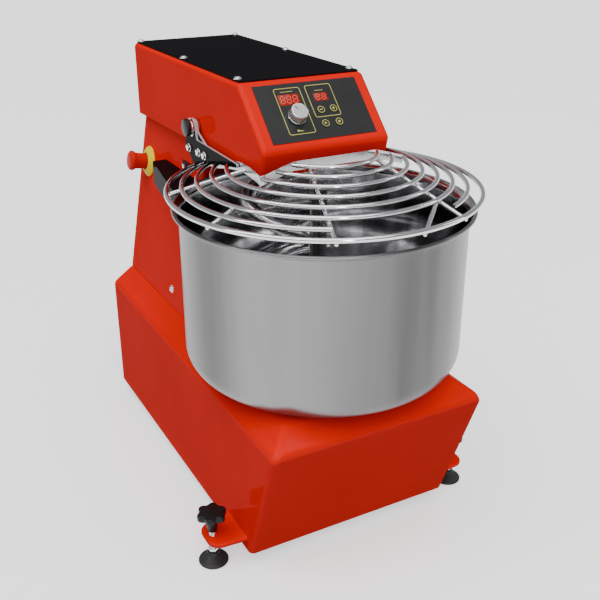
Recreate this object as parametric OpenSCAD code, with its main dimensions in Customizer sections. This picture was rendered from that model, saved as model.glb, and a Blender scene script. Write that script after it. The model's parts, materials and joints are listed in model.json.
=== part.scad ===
// Spiral dough mixer: sheet-metal base, column and head, a turning bowl, a spiral hook and a lifting guard.
// Millimetres, +Z up, front towards -Y. The origin is on the floor, under the middle of the machine.

/* [Base] */
// Width across the base's side walls
base_w = 384; // [380:1:388]
// Width of the base's flat top, where the column stands
base_top_w = 299; // [296:1:302]
// Height of the base's open lower edge above the floor
base_bottom_z = 25; // [22:1:27]
// Height of the upper edge of the upright side walls
base_wall_z = 260; // [257:1:262]
// Height of the base's flat top
base_top_z = 290; // [288:0.5:290]
// Reach of the front wall before the bowl axis, at its upper edge
base_front_top = 196; // [192:1:200]
// Reach of the front wall before the bowl axis, at its lower edge
base_front_bottom = 108; // [106:1:112]
// Reach of the flat top before the bowl axis
base_front_flat = 152; // [148:1:156]
// Distance from the bowl axis back to the rear wall
body_reach = 560; // [556:1:570]
// Thickness of the painted sheet
sheet = 3; // [2.5:0.5:3]

/* [Column] */
// Distance from the bowl axis back to the column's front wall
column_front = 250; // [249:1:252]
// Width of the column at its top
column_top_w = 183; // [180:1:186]
// Height of the column's top, where the head's floor plate lies
column_top_z = 622; // [621:0.5:622]

/* [Head] */
// Width of the head
head_w = 222; // [220:1:224]
// Height of the head's top edge
head_top_z = 747; // [745:1:750]
// Height of the lower edge of the slanted control panel
head_lip_z = 660; // [658:1:662]
// Height of the head's lower edge at the front
head_nose_z = 620; // [618:1:621]
// Height of the head's lower edge at the rear
head_heel_z = 613; // [611:1:615]
// Reach of the slanted panel's lower edge before the bowl axis
head_lip_reach = 14.5; // [13:0.5:16]
// Reach of the head's lower front edge before the bowl axis
head_nose_reach = 3; // [2:0.5:4]
// Distance from the bowl axis back to the upper edge of the slanted panel
head_top_front = 72; // [70:1:74]
// Distance from the bowl axis back to the head's rear wall
head_rear = 550; // [546:1:552]
// Thickness of the head's floor plate
floor_t = 6; // [5:0.5:6]

/* [Bowl] */
// Outer radius of the bowl's wall
bowl_r = 227; // [226:0.5:229]
// Thickness of the bowl's sheet
bowl_sheet = 2.5; // [2:0.25:3]
// Outer radius of the bowl's bottom corner
bowl_corner_r = 42; // [40:1:44]
// Height of the bowl's underside
bowl_bottom_z = 293.5; // [293:0.5:295]
// Height of the bowl's rim
rim_z = 567.5; // [566:0.5:569]
// Outer radius of the rolled rim
rim_r = 238; // [236:0.5:239]
// Diameter of the rolled edge
rim_roll = 6; // [5:0.5:7]

/* [Guard] */
// Radius of the outer ring, at the middle of its wire
guard_r = 243; // [242:0.5:244]
// Height of the outer ring
guard_z = 592.5; // [591:0.5:594]
// Rise of the guard for each millimetre towards the middle
guard_slope = 0.32; // [0.31:0.005:0.33]
// Step in radius from ring to ring
ring_step = 23.2; // [23:0.1:23.3]
// Number of rings
ring_count = 8; // [8:1:8]
// Diameter of the outer ring's wire
outer_wire = 8; // [7:0.5:8]
// Diameter of the inner rings' wire
inner_wire = 7; // [6:0.5:7]
// Diameter of the bars
bar_wire = 6; // [5.5:0.5:6]
// Half distance between the straight sides of the strip
strip_x = 118.3; // [118:0.1:119]
// Thickness of the strip
strip_t = 2.5; // [2:0.5:2.5]
// Distance from the bowl axis back to the guard's pivot
pivot_back = 234; // [232:1:236]
// Height of the guard's pivot
pivot_z = 649.5; // [649:0.5:651]
// Diameter of the guard's shaft
guard_shaft_d = 16; // [14:0.5:16]

/* [Drive] */
// Distance from the bowl axis back to the spiral's axis
spiral_back = 126; // [125:0.5:127]
// Radius of the spiral, at the middle of its bar
spiral_r = 75; // [73:0.5:76]
// Diameter of the spiral's bar
hook_bar = 26; // [24:0.5:27]
// Number of turns of the spiral
hook_turns = 1.4; // [1.2:0.05:1.6]
// Distance from the bowl axis back to the drive shaft
drive_back = 345; // [340:1:348]
// Radius of the bowl's pulley
bowl_pulley_r = 152; // [150:1:154]
// Radius of the lower drive pulley
lower_pulley_r = 19; // [18.5:0.5:20]
// Radius of the upper drive pulley and of the spiral's pulley
upper_pulley_r = 45; // [42:1:46]
// Diameter of the breaker bar
breaker_d = 28; // [26:0.5:29]

/* [Controls] */
// Width of the control overlay
overlay_w = 180; // [176:1:184]
// Height of the control overlay along the slant
overlay_h = 102; // [101:1:103]
// Radius of the speed knob
knob_r = 15; // [14:0.5:15.5]
// Radius of the round keys
key_r = 6.8; // [6.5:0.1:7]
// Radius of the emergency stop's mushroom head
stop_r = 19.5; // [18:0.5:21]
// Radius of the emergency stop's yellow collar
stop_disc_r = 30; // [28:0.5:32]

/* [Feet] */
// Half distance between the jack feet
foot_x = 239; // [237:1:241]
// Reach of the jack feet before the bowl axis
foot_reach = 62.5; // [61:0.5:64]
// Radius of the foot pad
pad_r = 25; // [23:0.5:26]
// Diameter of the foot's screw
screw_d = 12; // [10:0.5:12]
// Radius of the wheels
wheel_r = 25; // [24:0.5:25]

/* [Hidden] */
$fn = 64;

// Colours of the finishes
paint_red = [0.80, 0.12, 0.05];
gloss_black = [0.05, 0.05, 0.06];
steel = [0.75, 0.76, 0.78];
dark_steel = [0.42, 0.43, 0.45];
rubber = [0.12, 0.12, 0.12];

// Clearances
running = 0.05;
easy = 0.3;
reach_through = 40;

// Places along the machine's length
gland_out = 16;
machine_l = guard_r + outer_wire / 2 + body_reach + gland_out;
bowl_y = guard_r + outer_wire / 2 - machine_l / 2;
rear_y = bowl_y + body_reach;
column_front_y = bowl_y + column_front;
head_rear_y = bowl_y + head_rear;
head_lip_y = bowl_y - head_lip_reach;
head_nose_y = bowl_y - head_nose_reach;
head_top_y = bowl_y + head_top_front;
pivot_y = bowl_y + pivot_back;
spiral_y = bowl_y + spiral_back;
drive_y = bowl_y + drive_back;
foot_y = bowl_y - foot_reach;

// Slopes of the flat faces
panel_a = atan2(head_top_z - head_lip_z, head_top_y - head_lip_y);
column_run = (base_top_w - column_top_w) / 2 / (column_top_z - base_top_z);
column_a = atan(column_run);

// Control places on the slanted panel: across from the middle, and up from its lower edge
overlay_low = 12;
overlay_t = 0.8;
knob_at = [-36, 54];
minus_at = [9.3, 61.6];
plus_at = [31.2, 61.6];
start_at = [8, 37.3];
stop_at = [32, 37.3];
keys_at = [minus_at, plus_at, start_at, stop_at];
speed_window = [-54.5, 76, 35.5, 19];
timer_window = [6.5, 77.5, 23.5, 14.5];
windows = [speed_window, timer_window];
board_depth = 16;

// Emergency stop and bolts on the column's sides: distance behind the bowl axis, and height
stop_place = [508.5, 522];
low_bolt = [325, 321];
shield_bolt = [321, 556];

// Black shield: heights, its two outer corners and the gap round the bowl
shield_low = 503;
shield_high = 546;
shield_tail = [132, 423];
shield_tip = [176, 169];
shield_bowl_r = 240;

// Guard: plan of the strip and its height about the rings' cone, which is flat within strip_flat_r
strip_front_x = 125.4;
strip_front = 34;
strip_turn = 50;
strip_back = 165;
strip_below = 10;
strip_above = 4;
strip_flat_r = 80;

// Guard: bars, as turns round the bowl axis at their inner and outer ends
ring_gap_a = [-117, -63.3];
front_bars_a = [[-134.5, -116], [-40.5, -64.5]];
side_bars_a = [[165, 158.5], [15, 21.5]];
side_bar_r = 122;
left_bar_a = -161;
brace_a = [-65.5, -86];

// Guard: black arms welded outside the strip, and levers bolted inside them; outlines from the pivot
arm_t = 4;
arm_x = strip_x + strip_t / 2 - 0.15;
arm_outline = [[34, -32], [-4, -66], [-74, -47], [-114, -37], [-179, -26], [-179, -20], [-19, -18],
    [-13, 10]];
arm_eye_r = 16;
arm_bolts = [[14, -38], [-28, -37], [-53, -37]];
lever_t = 4;
lever_x = arm_x - running - lever_t;
lever_outline = [[24, -30], [14, -47], [-62, -46], [-62, -28], [-14, -6]];
lever_eye_r = 14;
cap_x = 130;

// Hidden drive: heights
lower_belt_z = 221;
upper_belt_z = 688;
belt_h = 23;
belt_t = 5;
belt_gap = 0.4;
pulley_lip = 2;
pulley_lip_h = 4;
hook_low_z = 320;
hook_high_z = 588;
plate_z = 56;
plate_t = 6;
shelf_z = 330;
shelf_t = 8;

// Jack feet and wheels
lug_z = 46;
lug_t = 7;
lug_r = 22;
lug_x = 231;
lug_front = 73;
lug_rear = 52;
lug_root = [98, 16];
knob_top_z = 100;
star_r = 25;
wheel_x = 130;
wheel_w = 20;
axle_r = 5;
axle_z = 25;
front_lift = 3;
rear_wheel_y = rear_y - 75;
front_wheel_y = bowl_y + 20;
gland_place = [-110, 110];
gland_r = 10;

// A polygon moved inwards by d on every side; its points run anticlockwise
function unit(v) = v / norm(v);
function left_of(v) = [-v.y, v.x];
function inset(pts, d) = [for (i = [0:len(pts) - 1])
    let (a = pts[(i + len(pts) - 1) % len(pts)], b = pts[i], c = pts[(i + 1) % len(pts)],
        m = left_of(unit(b - a)), n = left_of(unit(c - b)))
    b + d * (m + n) / (1 + m * n)];

// Outlines of the shells: across and up, or along and up
function base_front_at(z) = bowl_y - base_front_bottom
    - (z - base_bottom_z) * (base_front_top - base_front_bottom) / (base_wall_z - base_bottom_z);
function base_across(low) = [[-base_w / 2, low], [base_w / 2, low], [base_w / 2, base_wall_z],
    [base_top_w / 2, base_top_z], [-base_top_w / 2, base_top_z], [-base_w / 2, base_wall_z]];
function base_along(low) = [[base_front_at(low), low], [rear_y, low], [rear_y, base_top_z],
    [bowl_y - base_front_flat, base_top_z], [bowl_y - base_front_top, base_wall_z]];
function column_half(z) = base_top_w / 2 - (z - base_top_z) * column_run;
function column_across(low, high) = [[-column_half(low), low], [column_half(low), low],
    [column_half(high), high], [-column_half(high), high]];
function nose_at(z) = head_lip_y
    + (head_lip_z - z) * (head_nose_y - head_lip_y) / (head_lip_z - head_nose_z);
function head_along(nose_z, heel_z) = [[nose_at(nose_z), nose_z], [head_rear_y, heel_z],
    [head_rear_y, head_top_z], [head_top_y, head_top_z], [head_lip_y, head_lip_z]];

// Guard: the shallow cone that the rings lie on, and where a ring meets an arm or the strip's front
function ring_r(i) = guard_r - i * ring_step;
function cone_z(r) = guard_z + (guard_r - r) * guard_slope;
function polar(r, a, z) = [r * cos(a), bowl_y + r * sin(a), z];
function strip_plan(back) = [[-strip_x, back], [-strip_x, strip_turn], [-strip_front_x, -strip_front],
    [strip_front_x, -strip_front], [strip_x, strip_turn], [strip_x, back]];
function ring_end_a(r) = r > norm([strip_front_x, strip_front]) ? acos((arm_x + arm_t) / r)
    : -asin((strip_front + strip_t / 2) / r);
function ring_bar_z(r) = cone_z(r) - (inner_wire + bar_wire) / 2 + 1;

// Spiral hook: its path from the hub outwards and down, and the thickness of its bar
hook_rings = 56;
hook_sides = 12;
hook_swing = 0.2;
hook_taper = 0.06;
function ease(t) = t * t * (3 - 2 * t);
function hook_reach(t) = 10 + (spiral_r - 10) * ease(min(1, t / hook_swing));
function hook_point(t) = let (a = 90 + 360 * hook_turns * t)
    [hook_reach(t) * cos(a), hook_reach(t) * sin(a), hook_high_z - (hook_high_z - hook_low_z) * t];
function hook_thick(t) = hook_bar / 2 * (t > 1 - hook_taper ? sqrt(max(0.15, (1 - t) / hook_taper)) : 1);
function hook_ring(t) = let (d = 0.002, along = unit(hook_point(t + d) - hook_point(t - d)),
    turn = 90 + 360 * hook_turns * t, out = [cos(turn), sin(turn), 0],
    side = unit(out - along * (out * along)), up = cross(side, along))
    [for (k = [0:hook_sides - 1]) let (a = 360 * k / hook_sides)
        hook_point(t) + hook_thick(t) * (cos(a) * side + sin(a) * up)];

// Shared shapes
module along_x(w) {
    translate([-w / 2, 0, 0]) rotate([90, 0, 90]) linear_extrude(w) children();
}

module along_y(from, to) {
    translate([0, to, 0]) rotate([90, 0, 0]) linear_extrude(to - from) children();
}

module both_sides() {
    children();
    mirror([1, 0, 0]) children();
}

module ring_solid(r_out, r_in, h) {
    difference() {
        cylinder(r = r_out, h = h);
        translate([0, 0, -1]) cylinder(r = r_in, h = h + 2);
    }
}

module rod(from, to, d) {
    v = to - from;
    translate(from) rotate([0, acos(v.z / norm(v)), atan2(v.y, v.x)]) cylinder(d = d, h = norm(v));
}

module on_panel(at) {
    translate([0, head_lip_y, head_lip_z]) rotate([panel_a, 0, 0]) translate([at.x, at.y, 0]) children();
}

module on_column(place) {
    translate([-column_half(place.y), bowl_y + place.x, place.y]) rotate([0, column_a - 90, 0]) children();
}

module at_bowl(z) {
    translate([0, bowl_y, z]) children();
}

module at_spiral(z) {
    translate([0, spiral_y, z]) children();
}

module at_drive(z) {
    translate([0, drive_y, z]) children();
}

module at_pivot(x) {
    translate([x, pivot_y, pivot_z]) rotate([0, 90, 0]) children();
}

module dome_screw(head_r, head_h, shank_r, shank_l) {
    rotate_extrude() intersection() {
        translate([0, head_h - head_r * 1.25]) circle(head_r * 1.25);
        square([head_r, head_h]);
    }
    translate([0, 0, -shank_l]) cylinder(r = shank_r, h = shank_l + 0.2);
}

module base_form(low, d) {
    intersection() {
        along_y(bowl_y - base_front_top - 20, rear_y + 20) polygon(inset(base_across(low), d));
        along_x(base_w + 20) polygon(inset(base_along(low), d));
    }
}

module base_shell() {
    hub_hole_r = 60;
    lip = 14;
    color(paint_red) difference() {
        base_form(base_bottom_z, 0);
        base_form(base_bottom_z - 2 * sheet, sheet);
        at_bowl(base_top_z - 20) cylinder(r = hub_hole_r, h = reach_through);
        translate([lip - base_top_w / 2, column_front_y + lip, base_top_z - 20])
            cube([base_top_w - 2 * lip, rear_y - column_front_y - 2 * lip, reach_through]);
        translate([gland_place.x, rear_y + 1, gland_place.y]) rotate([90, 0, 0])
            cylinder(r = gland_r + 0.1, h = sheet + 2);
    }
}

module base_plate() {
    half = base_w / 2 - sheet - easy;
    front = base_front_at(plate_z) + 2 * sheet;
    color(dark_steel) translate([-half, front, plate_z])
        cube([2 * half, rear_y - sheet - easy - front, plate_t]);
}

module column_shell() {
    window = [140, 235];
    window_z = 340;
    color(paint_red) difference() {
        along_y(column_front_y, rear_y) polygon(column_across(base_top_z, column_top_z));
        along_y(column_front_y + sheet, rear_y - sheet)
            polygon(inset(column_across(base_top_z - reach_through, column_top_z + reach_through), sheet));
        translate([-window.x / 2, rear_y - sheet - 1, window_z]) cube([window.x, sheet + 2, window.y]);
        on_column(stop_place) translate([0, 0, -10]) cylinder(r = stop_bore_r, h = 20);
        both_sides() {
            on_column(low_bolt) translate([0, 0, -10]) cylinder(r = 3.1, h = 20);
            on_column(shield_bolt) translate([0, 0, -10]) cylinder(r = 3.1, h = 20);
        }
    }
}

cover_t = 2;
cover_half = 85;
cover_low = 318;
cover_high = 597;
cover_h = cover_high - cover_low;
cover_edge = 8;
cover_screws = [for (x = [-1, 1], z = [0, 1, 2])
    [x * (cover_half - cover_edge), cover_low + cover_edge + z * (cover_h - 2 * cover_edge) / 2]];

module rear_cover() {
    slots = 9;
    slot = [96, 5];
    slot_step = 14;
    slot_low = cover_low + (cover_h - slots * slot_step) / 2;
    color(paint_red) difference() {
        translate([-cover_half, rear_y + running, cover_low])
            cube([2 * cover_half, cover_t, cover_h]);
        for (i = [0:slots - 1])
            translate([-slot.x / 2, rear_y - 1, slot_low + i * slot_step])
                cube([slot.x, cover_t + 2, slot.y]);
        for (p = cover_screws)
            translate([p.x, rear_y - 1, p.y]) rotate([-90, 0, 0]) cylinder(r = 2.2, h = cover_t + 2);
    }
}

module rear_cover_screws() {
    color(steel) for (p = cover_screws)
        translate([p.x, rear_y + running + cover_t, p.y]) rotate([-90, 0, 0])
            dome_screw(4.5, 2.6, 2, cover_t - 0.1);
}

module head_shell() {
    edge = 20;
    deep = head_heel_z - reach_through;
    color(paint_red) difference() {
        along_x(head_w) polygon(head_along(head_nose_z, head_heel_z));
        along_x(head_w - 2 * sheet) polygon(inset(head_along(deep, deep), sheet));
        along_y(head_rear_y - 2 * sheet, head_rear_y + 1)
            polygon(inset(column_across(deep, column_top_z), -easy));
        translate([edge - head_w / 2, head_top_y + edge, head_top_z - 10])
            cube([head_w - 2 * edge, head_rear_y - head_top_y - 2 * edge, 20]);
        translate([-head_w, pivot_y, pivot_z]) rotate([0, 90, 0])
            cylinder(r = guard_shaft_d / 2 + 1, h = 2 * head_w);
        on_panel(knob_at) translate([0, 0, -10]) cylinder(r = 5, h = 20);
        for (k = keys_at) on_panel(k) translate([0, 0, -10]) cylinder(r = key_r + 0.4, h = 20);
        for (w = windows) on_panel(w) translate([-0.2, -0.2, -10]) cube([w[2] + 0.4, w[3] + 0.4, 20]);
        for (p = top_screws) translate([p.x, p.y, head_top_z - 10]) cylinder(r = 2.6, h = 20);
    }
}

spigot_r = 45;
bearing_seat_r = 31;

module head_floor() {
    half = head_w / 2 - sheet - easy;
    block_x = 88;
    block_t = 16;
    block_r = 17;
    color(dark_steel) difference() {
        union() {
            translate([-half, bowl_y + 2, column_top_z])
                cube([2 * half, head_rear_y - sheet - easy - bowl_y - 2, floor_t]);
            at_drive(column_top_z) cylinder(r = bearing_seat_r + 13, h = floor_t + 22);
            both_sides() {
                translate([block_x, pivot_y - block_r, column_top_z])
                    cube([block_t, 2 * block_r, pivot_z - column_top_z]);
                at_pivot(block_x) cylinder(r = block_r, h = block_t);
            }
        }
        at_spiral(column_top_z - 1) cylinder(r = spigot_r + 0.2, h = floor_t + 2);
        at_drive(column_top_z - 1) cylinder(r = 20, h = reach_through);
        at_drive(column_top_z + 10) cylinder(r = bearing_seat_r + running, h = reach_through);
        at_pivot(-head_w / 2) cylinder(r = guard_shaft_d / 2 + running, h = head_w);
        translate([-50, drive_y + 75, column_top_z - 1]) cube([100, 100, floor_t + 2]);
    }
}

top_plate_t = 2.5;
top_plate_edge = 5;
top_screws = [for (x = [-1, 1], s = [0, 1, 2])
    [x * (head_w / 2 - 12), head_top_y + 23 + s * (head_rear_y - head_top_y - 35) / 2]];

module top_plate() {
    color(gloss_black) difference() {
        translate([top_plate_edge - head_w / 2, head_top_y + 3, head_top_z])
            cube([head_w - 2 * top_plate_edge, head_rear_y - head_top_y - 6, top_plate_t]);
        for (p = top_screws) translate([p.x, p.y, head_top_z - 1]) cylinder(r = 2.6, h = top_plate_t + 2);
    }
}

module top_plate_screws() {
    color(steel) for (p = top_screws)
        translate([p.x, p.y, head_top_z + top_plate_t]) dome_screw(6, 3.5, 2.5, 9);
}

module control_overlay() {
    color([0.16, 0.16, 0.17]) difference() {
        on_panel([-overlay_w / 2, overlay_low]) cube([overlay_w, overlay_h, overlay_t]);
        on_panel(knob_at) translate([0, 0, -1]) cylinder(r = 4, h = 5);
        for (k = keys_at) on_panel(k) translate([0, 0, -1]) cylinder(r = key_r + 0.4, h = 5);
        for (w = windows) on_panel(w) translate([-0.2, -0.2, -1]) cube([w[2] + 0.4, w[3] + 0.4, 5]);
    }
}

module display_windows() {
    color([0.55, 0.05, 0.04]) for (w = windows) on_panel(w) translate([0, 0, -3.8]) cube([w[2], w[3], 4.4]);
}

module shield_form(d, from, to) {
    plan = [[-shield_tail.x, shield_tail.y], [-shield_tip.x, shield_tip.y],
        [shield_tip.x, shield_tip.y], [shield_tail.x, shield_tail.y]];
    difference() {
        at_bowl(from) linear_extrude(to - from) polygon(inset(plan, d));
        at_bowl(from - 1) cylinder(r = shield_bowl_r + d, h = to - from + 2);
        along_y(column_front_y - d - easy, rear_y)
            polygon(inset(column_across(shield_low - 30, shield_high + 30), -d - easy));
    }
}

module bowl_shield() {
    skin = 3;
    tab = [26, 30, 2.5];
    color(gloss_black) difference() {
        union() {
            difference() {
                shield_form(0, shield_low, shield_high);
                shield_form(skin, shield_low - 1, shield_high - skin);
            }
            both_sides() on_column(shield_bolt) translate([-16, -tab.y / 2, easy]) cube(tab);
        }
        both_sides() on_column(shield_bolt) cylinder(r = 3.1, h = 10);
    }
}

module side_bolts() {
    color(steel) both_sides() {
        on_column(low_bolt) dome_screw(7, 4.5, 3, 12);
        on_column(shield_bolt) translate([0, 0, 2.5 + easy]) dome_screw(6.5, 4, 3, 12);
    }
}

module breaker_bar() {
    bar_y = bowl_y + 18;
    low = 322;
    foot = [64, 32, 8];
    color(steel) {
        translate([0, bar_y, low]) cylinder(d = breaker_d, h = column_top_z - low - foot.z + 0.5);
        translate([0, bar_y, low]) sphere(d = breaker_d);
        translate([-foot.x / 2, bar_y - foot.y / 2, column_top_z - foot.z]) cube(foot);
    }
}

spiral_shaft_r = 17.5;
spiral_bore_r = 36;
spigot_z = 608;
housing_top_z = 686;
spiral_bearings_z = [630, 665];

module spiral_bearing_housing() {
    color(dark_steel) difference() {
        union() {
            at_spiral(spigot_z) cylinder(r = spigot_r, h = housing_top_z - spigot_z);
            at_spiral(column_top_z + floor_t) cylinder(r = 65, h = 10);
            at_spiral(column_top_z + floor_t) cylinder(r = 50, h = housing_top_z - column_top_z - floor_t);
        }
        at_spiral(spigot_z - 1) cylinder(r = 26, h = reach_through);
        at_spiral(spigot_z + 12) cylinder(r = spiral_bore_r + running, h = housing_top_z - spigot_z);
        for (a = [45:90:315])
            at_spiral(column_top_z + floor_t - 1) rotate(a) translate([57, 0, 0]) cylinder(r = 4.5, h = 12);
    }
}

module spiral_seal() {
    color(rubber) at_spiral(spigot_z + 1) ring_solid(26 - running, spiral_shaft_r + 0.3, 10);
}

bowl_shaft_r = 22.5;
bowl_bore_r = 42.5;
pedestal_top_z = 206;
bowl_bearings_z = [76, 184];

module bowl_bearing_housing() {
    low = plate_z + plate_t;
    color(dark_steel) difference() {
        union() {
            at_bowl(low) cylinder(r = 88, h = 12);
            at_bowl(low) cylinder(r = 56, h = pedestal_top_z - low);
            for (a = [0:60:300])
                at_bowl(low) rotate(a) translate([40, -5, 0]) cube([40, 10, 60]);
        }
        at_bowl(low + 10) cylinder(r = bowl_bore_r + running, h = pedestal_top_z);
    }
}

module ball_bearing(r_out, r_in, h) {
    groove = 1.5;
    difference() {
        ring_solid(r_out, r_in, h);
        translate([0, 0, h - groove]) ring_solid((r_out * 3 + r_in) / 4, (r_out + r_in * 3) / 4, h);
    }
}

module ball_bearings() {
    color(steel) {
        for (z = spiral_bearings_z) at_spiral(z) ball_bearing(spiral_bore_r, spiral_shaft_r + running, 17);
        for (z = bowl_bearings_z) at_bowl(z) ball_bearing(bowl_bore_r, bowl_shaft_r + running, 19);
        at_drive(column_top_z + 10) ball_bearing(bearing_seat_r, drive_r + running, 16);
    }
}

drive_r = 15;
motor_y = drive_y + 112;
gearbox_z = shelf_z + shelf_t;
gearbox_h = 92;
motor_r = 56;
motor_h = 125;
cowl_h = 42;

module motor_housing() {
    fins = 20;
    low = gearbox_z + gearbox_h;
    color([0.25, 0.28, 0.33]) {
        translate([0, motor_y, low]) linear_extrude(motor_h) {
            circle(motor_r);
            for (i = [0:fins - 1]) rotate(360 * i / fins) translate([motor_r - 2, -1.5]) square([8, 3]);
        }
        translate([0, motor_y, low + motor_h]) difference() {
            cylinder(r = motor_r + 7, h = cowl_h);
            for (a = [0:45:315]) rotate(a) translate([22, 0, cowl_h - 6]) cylinder(r = 6, h = 7);
        }
        translate([motor_r - 4, motor_y - 25, low + 30]) cube([24, 50, 60]);
    }
}

module gearbox_housing() {
    neck = 84;
    color([0.35, 0.37, 0.40]) difference() {
        translate([0, 0, gearbox_z]) linear_extrude(gearbox_h) {
            translate([0, drive_y]) circle(50);
            translate([0, motor_y]) circle(64);
            translate([-neck / 2, drive_y]) square([neck, motor_y - drive_y]);
        }
        at_drive(gearbox_z - 1) cylinder(r = drive_r + running, h = gearbox_h + 2);
    }
}

module motor_shelf() {
    half = column_half(shelf_z + shelf_t) - sheet - 1;
    depth = rear_y - column_front_y - 2 * sheet - 2 * easy;
    color(dark_steel) difference() {
        translate([-half, column_front_y + sheet + easy, shelf_z]) cube([2 * half, depth, shelf_t]);
        at_drive(shelf_z - 1) cylinder(r = 28, h = shelf_t + 2);
    }
}

module belt(r1, r2, distance) {
    linear_extrude(belt_h) difference() {
        hull() {
            circle(r1 + belt_gap + belt_t, $fn = 96);
            translate([0, distance]) circle(r2 + belt_gap + belt_t, $fn = 96);
        }
        hull() {
            circle(r1 + belt_gap, $fn = 96);
            translate([0, distance]) circle(r2 + belt_gap, $fn = 96);
        }
    }
}

module upper_belt() {
    color(rubber) at_spiral(upper_belt_z + pulley_lip + 0.5)
        belt(upper_pulley_r, upper_pulley_r, drive_y - spiral_y);
}

module lower_belt() {
    color(rubber) at_bowl(lower_belt_z + pulley_lip + 0.5)
        belt(bowl_pulley_r, lower_pulley_r, drive_y - bowl_y);
}

module inverter_box() {
    size = [130, 110, 120];
    low = plate_z + plate_t;
    at = [-size.x / 2, rear_y - 30 - size.y, low];
    color([0.20, 0.22, 0.25]) difference() {
        translate(at) cube(size);
        for (i = [0:8]) translate(at + [12 + i * 12, -1, 20]) cube([5, 10, size.z - 40]);
    }
}

module control_board() {
    board = [160, 92, 2];
    color([0.05, 0.30, 0.14]) difference() {
        union() {
            on_panel([-board.x / 2, overlay_low + 4]) translate([0, 0, -board_depth - board.z]) cube(board);
            on_panel(knob_at) translate([0, 0, -board_depth - 0.5]) cylinder(r = 9, h = 9.5);
            for (k = keys_at) on_panel(k) translate([-5, -5, -board_depth - 0.5]) cube([10, 10, 5]);
            for (w = windows) on_panel(w) translate([1, 1, -board_depth - 0.5])
                cube([w[2] - 2, w[3] - 2, 12]);
        }
        on_panel(knob_at) translate([0, 0, -board_depth - 5]) cylinder(r = 3 + running, h = 20);
    }
}

cam_x = 40;
cam_r = 18;

module guard_switch() {
    body = [22, 40, 44];
    color([0.85, 0.70, 0.10]) {
        translate([cam_x - 5, pivot_y + cam_r + 8, column_top_z + floor_t]) cube(body);
        translate([cam_x + 6, pivot_y + cam_r + 0.6, pivot_z]) rotate([-90, 0, 0]) cylinder(r = 4, h = 8);
    }
}

module cable_gland() {
    inside = 12;
    color(rubber) translate([gland_place.x, rear_y, gland_place.y]) rotate([-90, 0, 0]) difference() {
        union() {
            translate([0, 0, -inside]) cylinder(r = gland_r, h = inside + gland_out - 5);
            cylinder(r = 17, h = 5, $fn = 6);
            cylinder(r = 13, h = gland_out - 2);
            translate([0, 0, gland_out - 2]) cylinder(r = 11, h = 2);
        }
        translate([0, 0, -inside - 1]) cylinder(r = 5.5, h = inside + gland_out + 2);
    }
}

module lug_plan() {
    edge_r = lug_r - 0.3;
    root = [for (y = lug_root) [-base_w / 2, bowl_y - y]];
    centres = [for (y = [lug_front, lug_rear]) [-lug_x, bowl_y - y]];
    to_root = [for (i = [0, 1]) root[i] - centres[i]];
    open_a = [for (way = to_root) acos(lug_r / norm(way))];
    turn = [for (i = [0, 1]) atan2(to_root[i].y, to_root[i].x) + (2 * i - 1) * open_a[i]];
    touch = [for (i = [0, 1]) centres[i] + edge_r * [cos(turn[i]), sin(turn[i])]];
    for (c = centres) translate(c) circle(lug_r);
    polygon([root[0], root[1], touch[1], centres[1] - [edge_r, 0], centres[0] - [edge_r, 0], touch[0]]);
}

module foot_lugs() {
    color(paint_red) both_sides() difference() {
        translate([0, 0, lug_z]) linear_extrude(lug_t) lug_plan();
        translate([-foot_x, foot_y, 0]) cylinder(r = screw_d / 2 + running, h = 2 * lug_z);
    }
}

module wheel_place(x, y) {
    translate([x, y, axle_z]) rotate([0, 90, 0]) children();
}

module wheel_brackets() {
    cheek_t = 3;
    gap = wheel_w / 2 + 2;
    top_t = 3;
    plate = [2 * (gap + cheek_t), 44];
    color(dark_steel) for (x = [-wheel_x, wheel_x], y = [rear_wheel_y, front_wheel_y]) {
        translate([x - plate.x / 2, y - plate.y / 2, plate_z - top_t]) cube([plate.x, plate.y, top_t]);
        for (side = [-1, 1]) translate([x + side * (gap + cheek_t / 2) - cheek_t / 2, y - 12, axle_z - 9])
            cube([cheek_t, 24, plate_z - axle_z + 9]);
        wheel_place(x, y) cylinder(r = axle_r, h = 2 * (gap + cheek_t + 1), center = true);
    }
}

stop_bore_r = 11.3;
collar_bore_r = 16.5;
collar_h = 10;
skirt_r = 15.5;
mushroom_z = 30;

module stop_disc() {
    seat_h = 2;
    color([0.95, 0.85, 0.10]) on_column(stop_place) translate([0, 0, 0.1]) rotate_extrude()
        polygon([[stop_bore_r, 0], [stop_disc_r, 0], [stop_disc_r, 2], [stop_disc_r - 2, 4],
            [collar_bore_r + 4, collar_h], [collar_bore_r, collar_h], [collar_bore_r, seat_h],
            [stop_bore_r, seat_h]]);
}

module stop_housing() {
    color(gloss_black) on_column(stop_place) difference() {
        union() {
            translate([0, 0, 2.2]) cylinder(r = 15, h = 2);
            translate([0, 0, -22]) cylinder(r = 11, h = 25);
            translate([-17, -20, -50]) cube([34, 40, 30]);
        }
        translate([0, 0, -30]) cylinder(r = 5 + running, h = 50);
    }
}

module bowl_profile(d) {
    r = bowl_r - d;
    corner = bowl_corner_r - d;
    low = bowl_bottom_z + d;
    translate([0, low]) square([r - corner, rim_z - low]);
    translate([0, low + corner]) square([r, rim_z - low - corner]);
    translate([r - corner, low + corner]) circle(corner);
}

module bowl() {
    flare_z = rim_z - 14;
    roll_r = rim_roll / 2;
    lip = [rim_r - roll_r, rim_z - roll_r];
    color(steel) at_bowl(0) rotate_extrude($fn = 128) {
        difference() {
            bowl_profile(0);
            bowl_profile(bowl_sheet);
            translate([0, flare_z]) square([bowl_r + 1, reach_through]);
        }
        polygon([[bowl_r - bowl_sheet, flare_z], [bowl_r, flare_z], lip - [0, 1.5], lip + [0, 1.5]]);
        translate(lip) circle(roll_r);
    }
}

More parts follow.
